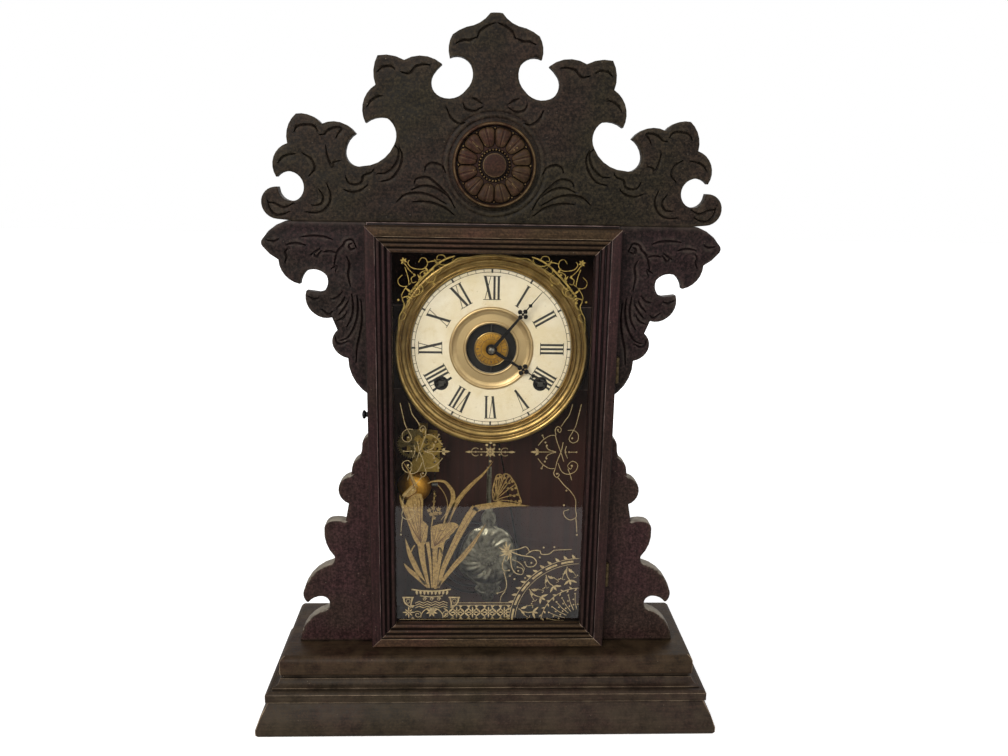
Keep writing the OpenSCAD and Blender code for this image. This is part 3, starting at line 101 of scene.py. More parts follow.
# Places that the drawing below is laid out from, all read from the frame
CREST_LO, CREST_HI = box_mm("crest_board")
CREST_FOOT = CREST_LO[2]
FRET_FRONT, FRET_BACK = CREST_LO[1], CREST_HI[1]
PAN_LO, PAN_HI = box_mm("dial_pan")
DIAL_Z = (PAN_LO[2] + PAN_HI[2]) / 2
PAPER_Y = PAN_LO[1]
BEZEL_LO, BEZEL_HI = box_mm("dial_bezel")
BEZEL_R = (BEZEL_HI[0] - BEZEL_LO[0]) / 2
GLASS_LO, GLASS_HI = box_mm("door_glass")
ROSETTE_LO, ROSETTE_HI = box_mm("crest_rosette")
ROSETTE_R = (ROSETTE_HI[0] - ROSETTE_LO[0]) / 2
ROSETTE_Z = (ROSETTE_HI[2] + ROSETTE_LO[2]) / 2

# Camera, light and floor

CAMERA_AT = (-16.5, -669.9, 454.7)
CAMERA_YAW, CAMERA_PITCH, CAMERA_ROLL = 2.32, 13.41, 1.05
FOCAL_PX, FRAME_PX = 841.0, 1008.0
SENSOR = 36
CLIP_NEAR, CLIP_FAR = 0.01, 50

# Place and aim in metres, size in metres, power in watts, colour
LAMPS = {
    "key": ((-0.95, -2.0, 1.35), (0, 0, 0.28), 1.2, 54, (1.0, 0.98, 0.95)),
    "fill": ((1.3, -1.7, 0.75), (0, 0, 0.3), 1.4, 9, (0.97, 0.98, 1.0)),
    "rim": ((0.5, 1.2, 1.6), (0, 0, 0.4), 0.9, 12, (1, 1, 1)),
    }
WORLD_STRENGTH = 0.46


def make_camera():
    yaw, pitch, roll = (math.radians(a) for a in (CAMERA_YAW, CAMERA_PITCH, CAMERA_ROLL))
    right = Vector((math.cos(yaw), -math.sin(yaw), 0))
    ahead = Vector((math.sin(yaw), math.cos(yaw), 0))
    up = Vector((0, 0, 1))
    look = ahead * math.cos(pitch) - up * math.sin(pitch)
    tilted = up * math.cos(pitch) + ahead * math.sin(pitch)
    side = right * math.cos(roll) + tilted * math.sin(roll)
    top = tilted * math.cos(roll) - right * math.sin(roll)
    data = bpy.data.cameras.new("camera")
    data.sensor_width = SENSOR
    data.lens = FOCAL_PX * data.sensor_width / FRAME_PX
    data.clip_start, data.clip_end = CLIP_NEAR, CLIP_FAR
    camera = bpy.data.objects.new("camera", data)
    turn = Matrix((side, top, -look)).transposed().to_4x4()
    camera.matrix_world = Matrix.Translation(Vector(CAMERA_AT) * MM) @ turn
    link(camera)
    bpy.context.scene.camera = camera


def make_light():
    for name, (at, aim, size, power, colour) in LAMPS.items():
        data = bpy.data.lights.new(name, "AREA")
        data.shape, data.size, data.energy, data.color = "SQUARE", size, power, colour
        lamp = bpy.data.objects.new(name, data)
        lamp.location = at
        lamp.rotation_mode = "QUATERNION"
        lamp.rotation_quaternion = (Vector(aim) - Vector(at)).to_track_quat("-Z", "Y")
        link(lamp)
    world = bpy.data.worlds.new("world")
    bpy.context.scene.world = world
    world.use_nodes = True
    nt = world.node_tree
    nt.nodes.clear()
    lit = add_node(nt, "Background", {"Strength": WORLD_STRENGTH})
    seen = add_node(nt, "Background", {"Color": (1, 1, 1, 1)})
    path = add_node(nt, "LightPath").outputs
    white = path["Is Camera Ray"]
    for ray in ("Is Glossy Ray", "Is Transmission Ray"):
        white = add_node(nt, "Math", {0: white, 1: path[ray]}, operation="MAXIMUM").outputs[0]
    mix = add_node(nt, "MixShader", {0: white, 1: lit.outputs[0], 2: seen.outputs[0]})
    add_node(nt, "OutputWorld", {"Surface": mix.outputs[0]})


# Node helpers


def srgb(*levels):
    """Colour as it reads on screen, 0 to 255, to the linear value a shader takes."""
    shares = [c / 255 for c in levels]
    return tuple(c / 12.92 if c < 0.04 else ((c + 0.055) / 1.055) ** 2.4 for c in shares) + (1,)


def add_node(nt, kind, values=None, **settings):
    """A new node; values are numbers or links for its inputs, settings are its own options."""
    node = nt.nodes.new("ShaderNode" + kind)
    for key, value in settings.items():
        setattr(node, key, value)
    for key, value in (values or {}).items():
        if isinstance(value, bpy.types.NodeSocket):
            nt.links.new(value, node.inputs[key])
        else:
            node.inputs[key].default_value = value
    return node


class Shader:
    """A material with one main shader, and short ways to feed it."""

    def __init__(self, name, roughness=0.5, metallic=0.0, specular=0.5):
        self.mat = bpy.data.materials.new(name)
        self.mat.use_nodes = True
        self.nt = self.mat.node_tree
        self.bsdf = self.nt.nodes["Principled BSDF"]
        self.bsdf.inputs["Roughness"].default_value = roughness
        self.bsdf.inputs["Metallic"].default_value = metallic
        self.bsdf.inputs["Specular IOR Level"].default_value = specular

    def add(self, kind, values=None, **settings):
        return add_node(self.nt, kind, values, **settings)

    def millimetres(self, scale=(1, 1, 1)):
        coords = self.add("TexCoord")
        factor = tuple(s / MM for s in scale)
        return self.add("Mapping", {"Vector": coords.outputs["Object"], "Scale": factor}).outputs[0]

    def noise(self, at, size, detail=3.0, rough=0.55, distort=0.0):
        values = {"Vector": at, "Scale": 1 / size, "Detail": detail, "Roughness": rough,
                  "Distortion": distort}
        return self.add("TexNoise", values).outputs["Fac"]

    def cells(self, at, size):
        values = {"Vector": at, "Scale": 1 / size}
        return self.add("TexVoronoi", values, feature="F1").outputs["Distance"]

    def ramp(self, fac, stops):
        node = self.add("ValToRGB", {"Fac": fac})
        ends = node.color_ramp.elements
        while len(ends) < len(stops):
            ends.new(0.5)
        for end, (place, colour) in zip(ends, stops):
            end.position = place
            end.color = colour if isinstance(colour, tuple) else (colour, colour, colour, 1)
        return node.outputs["Color"]

    def mix(self, fac, a, b, blend="MIX"):
        values = {"Fac": fac, "Color1": a, "Color2": b}
        return self.add("MixRGB", values, blend_type=blend).outputs["Color"]

    def maths(self, operation, a, b):
        return self.add("Math", {0: a, 1: b}, operation=operation).outputs[0]

    def raised_edges(self, low=0.5, high=0.56):
        point = self.add("NewGeometry").outputs["Pointiness"]
        return self.ramp(point, [(low, 0.0), (high, 1.0)])

    def feed(self, name, socket):
        self.nt.links.new(socket, self.bsdf.inputs[name])

    def bump(self, height, strength, distance):
        node = self.add("Bump", {"Height": height, "Strength": strength, "Distance": distance * MM})
        self.nt.links.new(node.outputs[0], self.bsdf.inputs["Normal"])


def shade(colour, factor):
    """The same hue, darker or lighter."""
    return tuple(min(1.0, c * factor) for c in colour[:3]) + (1,)


def stretched(along, factor):
    """Scales that draw a pattern out along one axis."""
    return tuple(factor if axis == along else 1.0 for axis in "XYZ")


DUST = srgb(150, 142, 128)
SPECK = srgb(132, 120, 104)
HOLLOW_SHADE_REACH = 3 * MM  # reach of the painted shade in hollows and grooves


def dark_wood(name, tone, worn, along, speckle=1.0, wear_and_sheen=0.5, streak=1.0, carved=False, dust=0.0,
              flank_shade=0.0):
    """Aged dark wood: long grain, stipple, painted shade in hollows and on groove walls, rubbed
    edges that are also painted highlights, dust.
    """
    s = Shader(name, 0.5, specular=0.09)
    grain = s.noise(s.millimetres(stretched(along, 0.05)), 1.8, 5, 0.65, 0.4)
    at = s.millimetres()
    fine = s.noise(at, 1.9, 3, 0.75)
    body = s.mix(s.ramp(grain, [(0.5 - 0.14 / streak, 0.0), (0.5 + 0.16 / streak, 1.0)]),
                 shade(tone, 0.62), shade(tone, 1.5))
    grit = s.ramp(fine, [(0.38, 0.16), (0.5, 0.46), (0.63, 1.0)])
    body = s.mix(speckle, body,
                 s.mix(1.0, body, s.mix(1.0, grit, (2, 2, 2, 1), "MULTIPLY"), "MULTIPLY"))
    tint = s.ramp(s.noise(at, 60, 2), [(0.4, (0.96, 1.03, 0.84, 1)), (0.6, (1.1, 0.94, 0.99, 1))])
    body = s.mix(1.0, body, tint, "MULTIPLY")
    specks = s.ramp(s.cells(at, 3.4), [(0.06, 1.0), (0.12, 0.0)])
    specks = s.maths("MULTIPLY", specks, s.ramp(s.noise(at, 7), [(0.56, 0.0), (0.64, 0.5)]))
    body = s.mix(specks, body, SPECK)
    # painted shade: hollows found by ambient occlusion are darkened in the colour
    shade_in_hollows = s.add("AmbientOcclusion", {"Distance": HOLLOW_SHADE_REACH}).outputs["AO"]
    body = s.mix(s.ramp(shade_in_hollows, [(0.42, 0.92), (0.9, 0.0)]), body, shade(tone, 0.15))
    # painted shade: faces turned aside from the front, such as groove walls, are darkened in the
    # colour
    if flank_shade:
        across = s.add("SeparateXYZ", {0: s.add("TexCoord").outputs["Normal"]}).outputs["Y"]
        frontal = s.maths("MULTIPLY", across, -1.0)
        sides = s.ramp(frontal, [(0.02, 0.0), (0.1, flank_shade), (0.5, flank_shade), (0.9, 0.0)])
        body = s.mix(sides, body, shade(tone, 0.15))
    # rubbed patches; on carved ridges and in the eased-edge finishes they are also a painted
    # highlight
    rubbed = s.ramp(s.noise(at, 12, 4), [(0.35, 0.1 * wear_and_sheen), (0.65, wear_and_sheen)])
    if carved:
        # painted shade in concave carving, and on raised edges a rubbed, lighter colour that is also
        # a painted highlight
        point = s.add("NewGeometry").outputs["Pointiness"]
        body = s.mix(s.ramp(point, [(0.4, 0.9), (0.485, 0.0)]), body, shade(tone, 0.2))
        body = s.mix(s.maths("MULTIPLY", s.raised_edges(), rubbed), body, worn)
    elif worn:
        body = s.mix(rubbed, body, worn)
    if dust:
        up = s.add("SeparateXYZ", {0: s.add("NewGeometry").outputs["Normal"]}).outputs["Z"]
        lies = s.maths("MULTIPLY", s.ramp(up, [(0.2, 0.0), (0.7, dust)]),
                       s.ramp(s.noise(at, 9, 3), [(0.3, 0.4), (0.6, 1.0)]))
        body = s.mix(lies, body, DUST)
    s.feed("Base Color", body)
    s.feed("Roughness", s.ramp(fine, [(0.3, 0.4), (0.7, 0.66)]))
    height = s.maths("ADD", s.maths("MULTIPLY", fine, speckle),
                     s.maths("MULTIPLY", grain, 0.35 * streak))
    s.bump(height, 0.6, 0.35)
    return s.mat


def aged_metal(name, bright, dull, roughness=(0.25, 0.5), patch=14):
    """Old metal: bright where rubbed, dull in patches, with fine scratches."""
    s = Shader(name, 0.35, 1.0)
    at = s.millimetres()
    patches = s.noise(at, patch, 5, 0.6)
    mottle = s.noise(at, 1.7, 4, 0.6)
    colour = s.mix(s.ramp(patches, [(0.35, 0.0), (0.62, 1.0)]), bright, dull)
    tarnish = s.maths("MULTIPLY", s.ramp(mottle, [(0.5, 0.0), (0.75, 1.0)]), 0.4)
    colour = s.mix(tarnish, colour, dull)
    colour = s.mix(s.maths("MULTIPLY", s.raised_edges(), 0.6), colour, bright)
    s.feed("Base Color", colour)
    s.feed("Roughness", s.ramp(patches, [(0.3, roughness[0]), (0.7, roughness[1])]))
    s.bump(mottle, 0.25, 0.1)
    return s.mat


def aged_paper(pale, warm, stain, spot):
    """Off-white dial paper with warm mottling, stains and small spots."""
    s = Shader("dial_paper", 0.6, specular=0.3)
    at = s.millimetres()
    colour = s.mix(s.ramp(s.noise(at, 26, 4), [(0.3, 0.0), (0.7, 1.0)]), pale, warm)
    colour = s.mix(s.ramp(s.noise(at, 7, 6, 0.75), [(0.5, 0.0), (0.75, 0.5)]), colour, stain)
    spots = s.maths("MULTIPLY", s.ramp(s.cells(at, 6.5), [(0.04, 1.0), (0.1, 0.0)]), 0.45)
    colour = s.mix(spots, colour, spot)
    s.feed("Base Color", colour)
    s.bump(s.noise(at, 1.2, 4), 0.12, 0.1)
    return s.mat


BARE = srgb(58, 44, 30)  # where the gilt is gone


def gilt_paint(name, bright, worn, gaps=0.15):
    """Gilt stencil on the back of the glass, thin and rubbed in places."""
    s = Shader(name, 0.38, 0.55)
    at = s.millimetres()
    rub = s.noise(at, 2.4, 5, 0.7)
    colour = s.mix(s.ramp(rub, [(0.4, 0.0), (0.65, 1.0)]), bright, worn)
    colour = s.mix(s.ramp(s.noise(at, 0.7, 3), [(0.62, 0.0), (0.7, gaps * 4)]), colour, BARE)
    s.feed("Base Color", colour)
    s.bump(rub, 0.2, 0.05)
    return s.mat


PANE_TINT = (0.975, 0.98, 0.965, 1)
PANE_IOR = 1.42
PANE_ROUGHNESS = 0.03
TWO_SURFACES = 1.8  # reflection of the pane's front and back, as a multiple of one surface's


def thin_glass():
    """Old window glass: see-through, with the faint even reflection of a flat pane."""
    mat = bpy.data.materials.new("door_glass")
    mat.use_nodes = True
    nt = mat.node_tree
    nt.nodes.clear()
    clear = add_node(nt, "BsdfTransparent", {"Color": PANE_TINT})
    shine = add_node(nt, "BsdfGlossy", {"Roughness": PANE_ROUGHNESS})
    fresnel = add_node(nt, "Fresnel", {"IOR": PANE_IOR}).outputs[0]
    # a ray leaves the pane through a face seen from behind, which adds no reflection of its own
    behind = add_node(nt, "NewGeometry").outputs["Backfacing"]
    entering = add_node(nt, "Math", {0: 1.0, 1: behind}, operation="SUBTRACT").outputs[0]
    share = add_node(nt, "Math", {0: fresnel, 1: entering}, operation="MULTIPLY").outputs[0]
    share = add_node(nt, "Math", {0: share, 1: TWO_SURFACES}, operation="MULTIPLY", use_clamp=True)
    mix = add_node(nt, "MixShader", {0: share.outputs[0], 1: clear.outputs[0], 2: shine.outputs[0]})
    add_node(nt, "OutputMaterial", {"Surface": mix.outputs[0]})
    return mat


def plain_wood(name, pale, dark, along):
    """Bare softwood with long grain."""
    s = Shader(name, 0.7, specular=0.25)
    grain = s.noise(s.millimetres(stretched(along, 0.03)), 6, 3, 0.5, 0.6)
    colour = s.mix(s.ramp(grain, [(0.3, 0.0), (0.65, 1.0)]), pale, dark)
    colour = s.mix(s.ramp(s.noise(s.millimetres(), 30), [(0.5, 0.0), (0.8, 0.5)]), colour, dark)
    s.feed("Base Color", colour)
    s.bump(grain, 0.25, 0.2)
    return s.mat


def flat_print(name, colour, rough=0.6):
    """Ink or paint with a slightly uneven tone."""
    s = Shader(name, rough, specular=0.3)
    tone = s.ramp(s.noise(s.millimetres(), 1.1, 3), [(0.3, 0.0), (0.7, 0.35)])
    worn = tuple(min(1, c * 2.2 + 0.01) for c in colour[:3]) + (1,)
    s.feed("Base Color", s.mix(tone, colour, worn))
    s.bump(s.noise(s.millimetres(), 0.8, 2), 0.1, 0.05)
    return s.mat


# Mesh helpers


def mesh_piece(name, verts, faces, body, mat, smooth=40):
    """A closed mesh given in millimetres, shaded smooth up to an angle in degrees."""
    mesh = bpy.data.meshes.new(name)
    mesh.from_pydata([tuple(c * MM for c in v) for v in verts], [], [tuple(f) for f in faces])
    return finish_piece(name, mesh, body, mat, smooth)


def finish_piece(name, mesh, body, mat, smooth):
    bm = bmesh.new()
    bm.from_mesh(mesh)
    bmesh.ops.remove_doubles(bm, verts=bm.verts, dist=TOUCHING)
    bmesh.ops.recalc_face_normals(bm, faces=bm.faces)
    for face in bm.faces:
        face.smooth = smooth > 0
    for edge in bm.edges:
        edge.smooth = edge.is_manifold and edge.calc_face_angle(0) < math.radians(max(smooth, 1))
    bm.to_mesh(mesh)
    bm.free()
    for each in mat if isinstance(mat, tuple) else (mat,):
        mesh.materials.append(each)
    piece = bpy.data.objects.new(name, mesh)
    link(piece)
    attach(piece, body)
    return piece


def worked_copy(node, mat, edge=0.5, segments=2, angle=32, smooth=32):
    """A CAD board with its edges eased, in place of the sharp one.

    Where mat is a pair, the second material goes on the eased edges.
    """
    bm = welded(node)
    bmesh.ops.dissolve_limit(bm, angle_limit=math.radians(1.0), verts=bm.verts, edges=bm.edges)
    sharp = [e for e in bm.edges
             if e.is_manifold and e.is_convex and e.calc_face_angle(0) > math.radians(angle)]
    mat_index = 1 if isinstance(mat, tuple) else -1
    bmesh.ops.bevel(bm, geom=sharp, offset=edge * MM, segments=segments, profile=0.6,
                    affect="EDGES", clamp_overlap=True, material=mat_index)
    name = node + "_worked"
    piece = finish_piece(name, mesh_of(bm, name), BODY_OF[node], mat, smooth)
    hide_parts(node)
    return piece


def paint(mat, *nodes):
    """A finish for CAD nodes whose own shape stays."""
    for node in nodes:
        mesh = frame["nodes"][node].data
        mesh.materials.clear()
        mesh.materials.append(mat)


def lathe(name, profile, centre, body, mat, sides=160, smooth=40):
    """Closed ring or knob turned about a line along Y: profile is (radius, forward)."""
    verts, faces = [], []
    n = len(profile)
    for i in range(sides):
        a = 2 * math.pi * i / sides
        for r, ahead in profile:
            verts.append((centre[0] + r * math.cos(a), centre[1] - ahead,
                          centre[2] + r * math.sin(a)))
    for i in range(sides):
        for k in range(n):
            a, b = i * n + k, i * n + (k + 1) % n
            c, d = ((i + 1) % sides) * n + (k + 1) % n, ((i + 1) % sides) * n + k
            faces.append((a, b, c, d))
    return mesh_piece(name, verts, faces, body, mat, smooth)


def arc_through(a, m, b, step=6):
    """Points from a to b on the circle through m, without b, every few degrees."""
    a, m, b = (np.array(p, float) for p in (a, m, b))
    d = 2 * (a[0] * (m[1] - b[1]) + m[0] * (b[1] - a[1]) + b[0] * (a[1] - m[1]))
    if abs(d) < 1e-9:
        return [tuple(a)]
    sq = [p @ p for p in (a, m, b)]
    c = np.array([sq[0] * (m[1] - b[1]) + sq[1] * (b[1] - a[1]) + sq[2] * (a[1] - m[1]),
                  sq[0] * (b[0] - m[0]) + sq[1] * (a[0] - b[0]) + sq[2] * (m[0] - a[0])]) / d
    start, end = (math.degrees(math.atan2(*(p - c)[::-1])) for p in (a, b))
    left = (m[0] - a[0]) * (b[1] - m[1]) - (m[1] - a[1]) * (b[0] - m[0]) > 0
    turn = (end - start) % 360 if left else -((start - end) % 360)
    count = max(2, math.ceil(abs(turn) / step))
    r = np.linalg.norm(a - c)
    return [tuple(c + r * np.array([math.cos(t), math.sin(t)]))
            for t in (math.radians(start + turn * i / count) for i in range(count))]


def arc_chain(start, *rest):
    """Points of arcs that follow one another, each given by its middle and its end."""
    out = []
    for mid, end in rest:
        out += arc_through(start, mid, end, 9)
        start = end
    return out


def smooth_line(points, per_span=8):
    """Smooth curve through given points."""
    p = [np.array(q, float) for q in points]
    p = [2 * p[0] - p[1]] + p + [2 * p[-1] - p[-2]]
    out = []
    for i in range(1, len(p) - 2):
        for k in range(per_span):
            t = k / per_span
            out.append(0.5 * (2 * p[i] + (p[i + 1] - p[i - 1]) * t
                              + (2 * p[i - 1] - 5 * p[i] + 4 * p[i + 1] - p[i + 2]) * t * t
                              + (3 * p[i] - p[i - 1] - 3 * p[i + 1] + p[i + 2]) * t ** 3))
    out.append(p[-2])
    return np.array(out)


def spiral(centre, r0, r1, start, turns, n=28):
    """Scroll from radius r0 to r1, start in degrees, turns signed."""
    out = []
    for i in range(n + 1):
        t = i / n
        a = math.radians(start + 360 * turns * t)
        r = r0 + (r1 - r0) * t
        out.append((centre[0] + r * math.cos(a), centre[1] + r * math.sin(a)))
    return np.array(out)


def distance_to_line(points, line):
    """Distance of each point from a polyline, with the share along it of the nearest place."""
    best = np.full(len(points), 1e9)
    where = np.zeros(len(points))
    for i in range(len(line) - 1):
        a, d = line[i], line[i + 1] - line[i]
        t = np.clip(((points - a) @ d) / max(d @ d, 1e-12), 0, 1)
        dist = np.linalg.norm(points - a - t[:, None] * d, axis=1)
        closer = dist < best
        best[closer] = dist[closer]
        where[closer] = (i + t[closer]) / (len(line) - 1)
    return best, where


def outline_of(node, y):
    """Outline of a fretted node in the plane at y, as points in the XZ plane."""
    bm = welded(node)
    after = {}
    for edge in bm.edges:
        if all(abs(v.co.y - y * MM) < 2e-5 for v in edge.verts):
            kinds = [abs(f.normal.y) > 0.5 for f in edge.link_faces]
            if len(kinds) == 2 and kinds[0] != kinds[1]:
                a, b = edge.verts
                after.setdefault(a.index, []).append(b.index)
                after.setdefault(b.index, []).append(a.index)
    places = {v.index: (v.co.x / MM, v.co.z / MM) for v in bm.verts}
    bm.free()
    start = min(after, key=lambda i: places[i])
    loop, last, here = [start], None, start
    while True:
        ahead = [i for i in after[here] if i != last]
        last, here = here, ahead[0]
        if here == start:
            break
        loop.append(here)
    return np.array([places[i] for i in loop])


def inside(points, loop):
    """True for each point inside a closed outline."""
    hit = np.zeros(len(points), bool)
    x, y = points[:, 0], points[:, 1]
    for (x0, y0), (x1, y1) in zip(loop, np.roll(loop, -1, axis=0)):
        if y0 == y1:
            continue
        cross = ((y0 > y) != (y1 > y)) & (x < (x1 - x0) * (y - y0) / (y1 - y0) + x0)
        hit ^= cross
    return hit


def split_long(loop, step):
    """The same outline with its long sides divided."""
    out = []
    for a, b in zip(loop, np.roll(loop, -1, axis=0)):
        n = max(1, int(np.linalg.norm(b - a) / step))
        out += [a + (b - a) * i / n for i in range(n)]
    return np.array(out)


def sideways(line):
    """Unit directions across a line, one at each of its points."""
    run = np.gradient(line, axis=0)
    length = np.maximum(np.linalg.norm(run, axis=1), 1e-9)
    return np.stack([-run[:, 1], run[:, 0]], 1) / length[:, None]


def fade(reach, span):
    """Rises from 0 to 1 over a span."""
    return np.clip(reach / span, 0, 1)


def relief_board(name, loop, front, back, depth_of, body, mat, step=1.3, edge=1.2, lines=(),
                 width=2.0, deepest=3.0):
    """A flat board with a carved front: depth_of(points, distance to the edge) in millimetres.

    The mesh is finer beside the lines, which are cut that wide.
    """
    loop = split_long(loop, step * 1.4)
    lo, hi = loop.min(0), loop.max(0)
    rows = np.arange(lo[1], hi[1], step * 0.866)
    columns = np.arange(lo[0], hi[0], step)
    grid = np.array([(x + (k % 2) * step / 2, z) for k, z in enumerate(rows) for x in columns])
    extra = []
    for line in lines:
        near_line, _ = distance_to_line(grid, line)
        grid = grid[near_line > width * 0.75]
        run = np.linalg.norm(np.diff(line, axis=0), axis=1)
        at = np.concatenate([[0], np.cumsum(run)])
        places = np.arange(0, at[-1], width * 0.36)
        mid = np.stack([np.interp(places, at, line[:, 0]), np.interp(places, at, line[:, 1])], 1)
        across = sideways(mid)
        extra += [mid + across * width * k for k in (-0.55, -0.28, 0.0, 0.28, 0.55)]
    grid = np.vstack([grid] + extra)
    grid = grid[inside(grid, loop)]
    closed = np.vstack([loop, loop[:1]])
    reach, _ = distance_to_line(grid, closed)
    grid = grid[reach > edge * 0.95]
    near = np.roll(loop, -1, axis=0) - np.roll(loop, 1, axis=0)
    inward = np.stack([-near[:, 1], near[:, 0]], 1) / np.linalg.norm(near, axis=1)[:, None]
    area = np.sum(loop[:, 0] * np.roll(loop[:, 1], -1) - np.roll(loop[:, 0], -1) * loop[:, 1])
    inward *= 1 if area > 0 else -1
    rings = []
    for share in (0.3, 0.75):
        ring = loop + inward * edge * share
        gap, _ = distance_to_line(ring, closed)
        rings.append(ring[(gap > edge * share * 0.9) & inside(ring, loop)])
    flat = np.vstack([loop] + rings + [grid])
    n = len(loop)
    ends = [(i, (i + 1) % n) for i in range(n)]
    made = geometry.delaunay_2d_cdt([Vector(p) for p in flat], ends, [], 1, 1e-4)
    points = np.array([tuple(v) for v in made[0]])
    gap, _ = distance_to_line(points, closed)
    round_off = np.clip(edge - gap, 0, edge)
    rounded = edge * 0.8 - np.sqrt(np.maximum(edge ** 2 - round_off ** 2, 0)) * 0.8
    depth = np.clip(rounded + depth_of(points, gap), 0.0, deepest)
    verts = [(p[0], front + d, p[1]) for p, d in zip(points, depth)]
    faces = [tuple(f) for f in made[2]]
    place = {i: k for k, origins in enumerate(made[3]) for i in origins if i < n}
    rim = [place[i] for i in range(n)]
    base = len(verts)
    verts += [(points[i][0], back, points[i][1]) for i in rim]
    faces += [(rim[i], rim[(i + 1) % n], base + (i + 1) % n, base + i) for i in range(n)]
    faces.append(tuple(base + i for i in range(n)))
    return mesh_piece(name, verts, faces, body, mat, 50)


def groove(points, line, width, depth, taper=True):
    """Depth of an incised line at each point."""
    gap, where = distance_to_line(points, line)
    half = width / 2 * (np.sin(np.pi * np.clip(where, 0.04, 0.96)) ** 0.5 if taper else 1)
    return depth * np.clip(1 - (gap / np.maximum(half, 1e-3)) ** 2, 0, 1)


def mirrored(lines):
    return [line for l in lines for line in (l, l * np.array([-1, 1]))]


def ribbon(verts, faces, line, width, y, thick, taper=(1.0, 1.0)):
    """Adds a flat closed strip along a line in the XZ plane; taper is its width at each end."""
    line = np.array(line, float)
    n = len(line)
    side = sideways(line)
    share = np.linspace(0, 1, n)
    fat = 1 - (1 - taper[0]) * (1 - share) ** 2 - (1 - taper[1]) * share ** 2
    half = side * (width / 2 * fat)[:, None]
    left, right = line + half, line - half
    base = len(verts)
    for l, r in zip(left, right):
        verts += [(l[0], y, l[1]), (r[0], y, r[1]), (r[0], y + thick, r[1]),
                  (l[0], y + thick, l[1])]
    for i in range(n - 1):
        a, b = base + 4 * i, base + 4 * i + 4
        faces += [(a + k, a + (k + 1) % 4, b + (k + 1) % 4, b + k) for k in range(4)]
    faces += [tuple(base + k for k in range(4)),
              tuple(base + 4 * (n - 1) + k for k in (3, 2, 1, 0))]


def flat_shape(verts, faces, outline, y, thick):
    """Adds a flat closed plate with an outline in the XZ plane."""
    base, n = len(verts), len(outline)
    verts += [(p[0], y, p[1]) for p in outline] + [(p[0], y + thick, p[1]) for p in outline]
    faces += [tuple(base + i for i in range(n)), tuple(base + n + i for i in reversed(range(n)))]
    faces += [(base + i, base + n + i, base + n + (i + 1) % n, base + (i + 1) % n) for i in range(n)]


def disc_outline(centre, r, n=14):
    turns = [2 * math.pi * i / n for i in range(n)]
    return [(centre[0] + r * math.cos(a), centre[1] + r * math.sin(a)) for a in turns]


def leaf_outline(foot, tip, width, bend=0.0, n=10):
    """Pointed leaf from foot to tip, bent sideways by a share of its length."""
    foot, tip = np.array(foot, float), np.array(tip, float)
    along = tip - foot
    reach = np.linalg.norm(along)
    across = np.array([-along[1], along[0]]) / reach
    shares = np.linspace(0, 1, n)
    mid = [foot + along * t + across * bend * reach * math.sin(math.pi * t) for t in shares]
    half = [width / 2 * math.sin(math.pi * t ** 0.8) for t in shares]
    left = [m + across * h for m, h in zip(mid, half)]
    right = [m - across * h for m, h in zip(mid, half)]
    return left + right[-2:0:-1]


# Finishes

crest_wood = dark_wood("crest_wood", srgb(30, 24, 18), srgb(74, 66, 52), "X", 1.0, 0.4, 0.6, True)
ear_wood = dark_wood("ear_wood", srgb(28, 20, 19), srgb(84, 74, 66), "Z", 1.0, 0.5, 0.6, True)
low_ear_wood = dark_wood("low_ear_wood", srgb(40, 27, 26), srgb(74, 64, 50), "Z", 0.75, 0.4, 0.6,
                         True, 0.7)
rosette_wood = dark_wood("rosette_wood", srgb(40, 24, 18), srgb(124, 104, 70), "X", 0.5, 0.7, 0.6,
                         True)
side_wood = dark_wood("side_wood", srgb(26, 17, 16), None, "Z", 0.15)
deck_wood = dark_wood("deck_wood", srgb(34, 24, 17), srgb(70, 56, 40), "X", 0.6, 0.5)
plinth_wood = dark_wood("plinth_wood", srgb(36, 28, 22), srgb(64, 54, 42), "X", 0.6, 0.5)
return_wood = dark_wood("return_wood", srgb(36, 28, 22), srgb(64, 54, 42), "Y", 0.6, 0.5)
rail_wood = dark_wood("rail_wood", srgb(51, 37, 27), None, "X", 0.5, streak=0.8, flank_shade=0.8)
stile_wood = dark_wood("stile_wood", srgb(36, 23, 22), None, "Z", 0.5, streak=0.8, flank_shade=0.8)
# eased-edge finishes: rubbed, lighter edges that are also a painted highlight
worn_and_lit_rail = dark_wood("worn_and_lit_rail", srgb(52, 40, 31), srgb(152, 132, 108), "X", 0.6, 0.85)
worn_and_lit_stile = dark_wood("worn_and_lit_stile", srgb(44, 31, 31), srgb(136, 116, 110), "Z", 0.6, 0.8)
back_wood = plain_wood("back_wood", srgb(56, 27, 21), srgb(38, 19, 15), "Z")
bezel_brass = aged_metal("bezel_brass", srgb(164, 136, 84), srgb(122, 98, 58), (0.28, 0.42), 12)
centre_brass = aged_metal("centre_brass", srgb(196, 170, 126), srgb(172, 146, 106), (0.38, 0.55),
                          22)
movement_brass = aged_metal("movement_brass", srgb(200, 164, 84), srgb(120, 96, 50), (0.3, 0.5), 9)
alarm_brass = aged_metal("alarm_brass", srgb(178, 148, 78), srgb(92, 74, 44), (0.35, 0.5), 7)
alarm_bronze = aged_metal("alarm_bronze", srgb(120, 104, 66), srgb(58, 52, 38), (0.35, 0.55), 5)
disc_gold = aged_metal("disc_gold", srgb(196, 148, 60), srgb(156, 110, 42), (0.35, 0.5), 5)
hinge_brass = aged_metal("hinge_brass", srgb(88, 74, 52), srgb(44, 36, 28), (0.4, 0.6), 4)
bell_brass = aged_metal("bell_brass", srgb(232, 172, 72), srgb(176, 124, 48), (0.45, 0.6), 12)
dark_steel = aged_metal("dark_steel", srgb(98, 96, 92), srgb(46, 44, 42), (0.3, 0.5), 4)
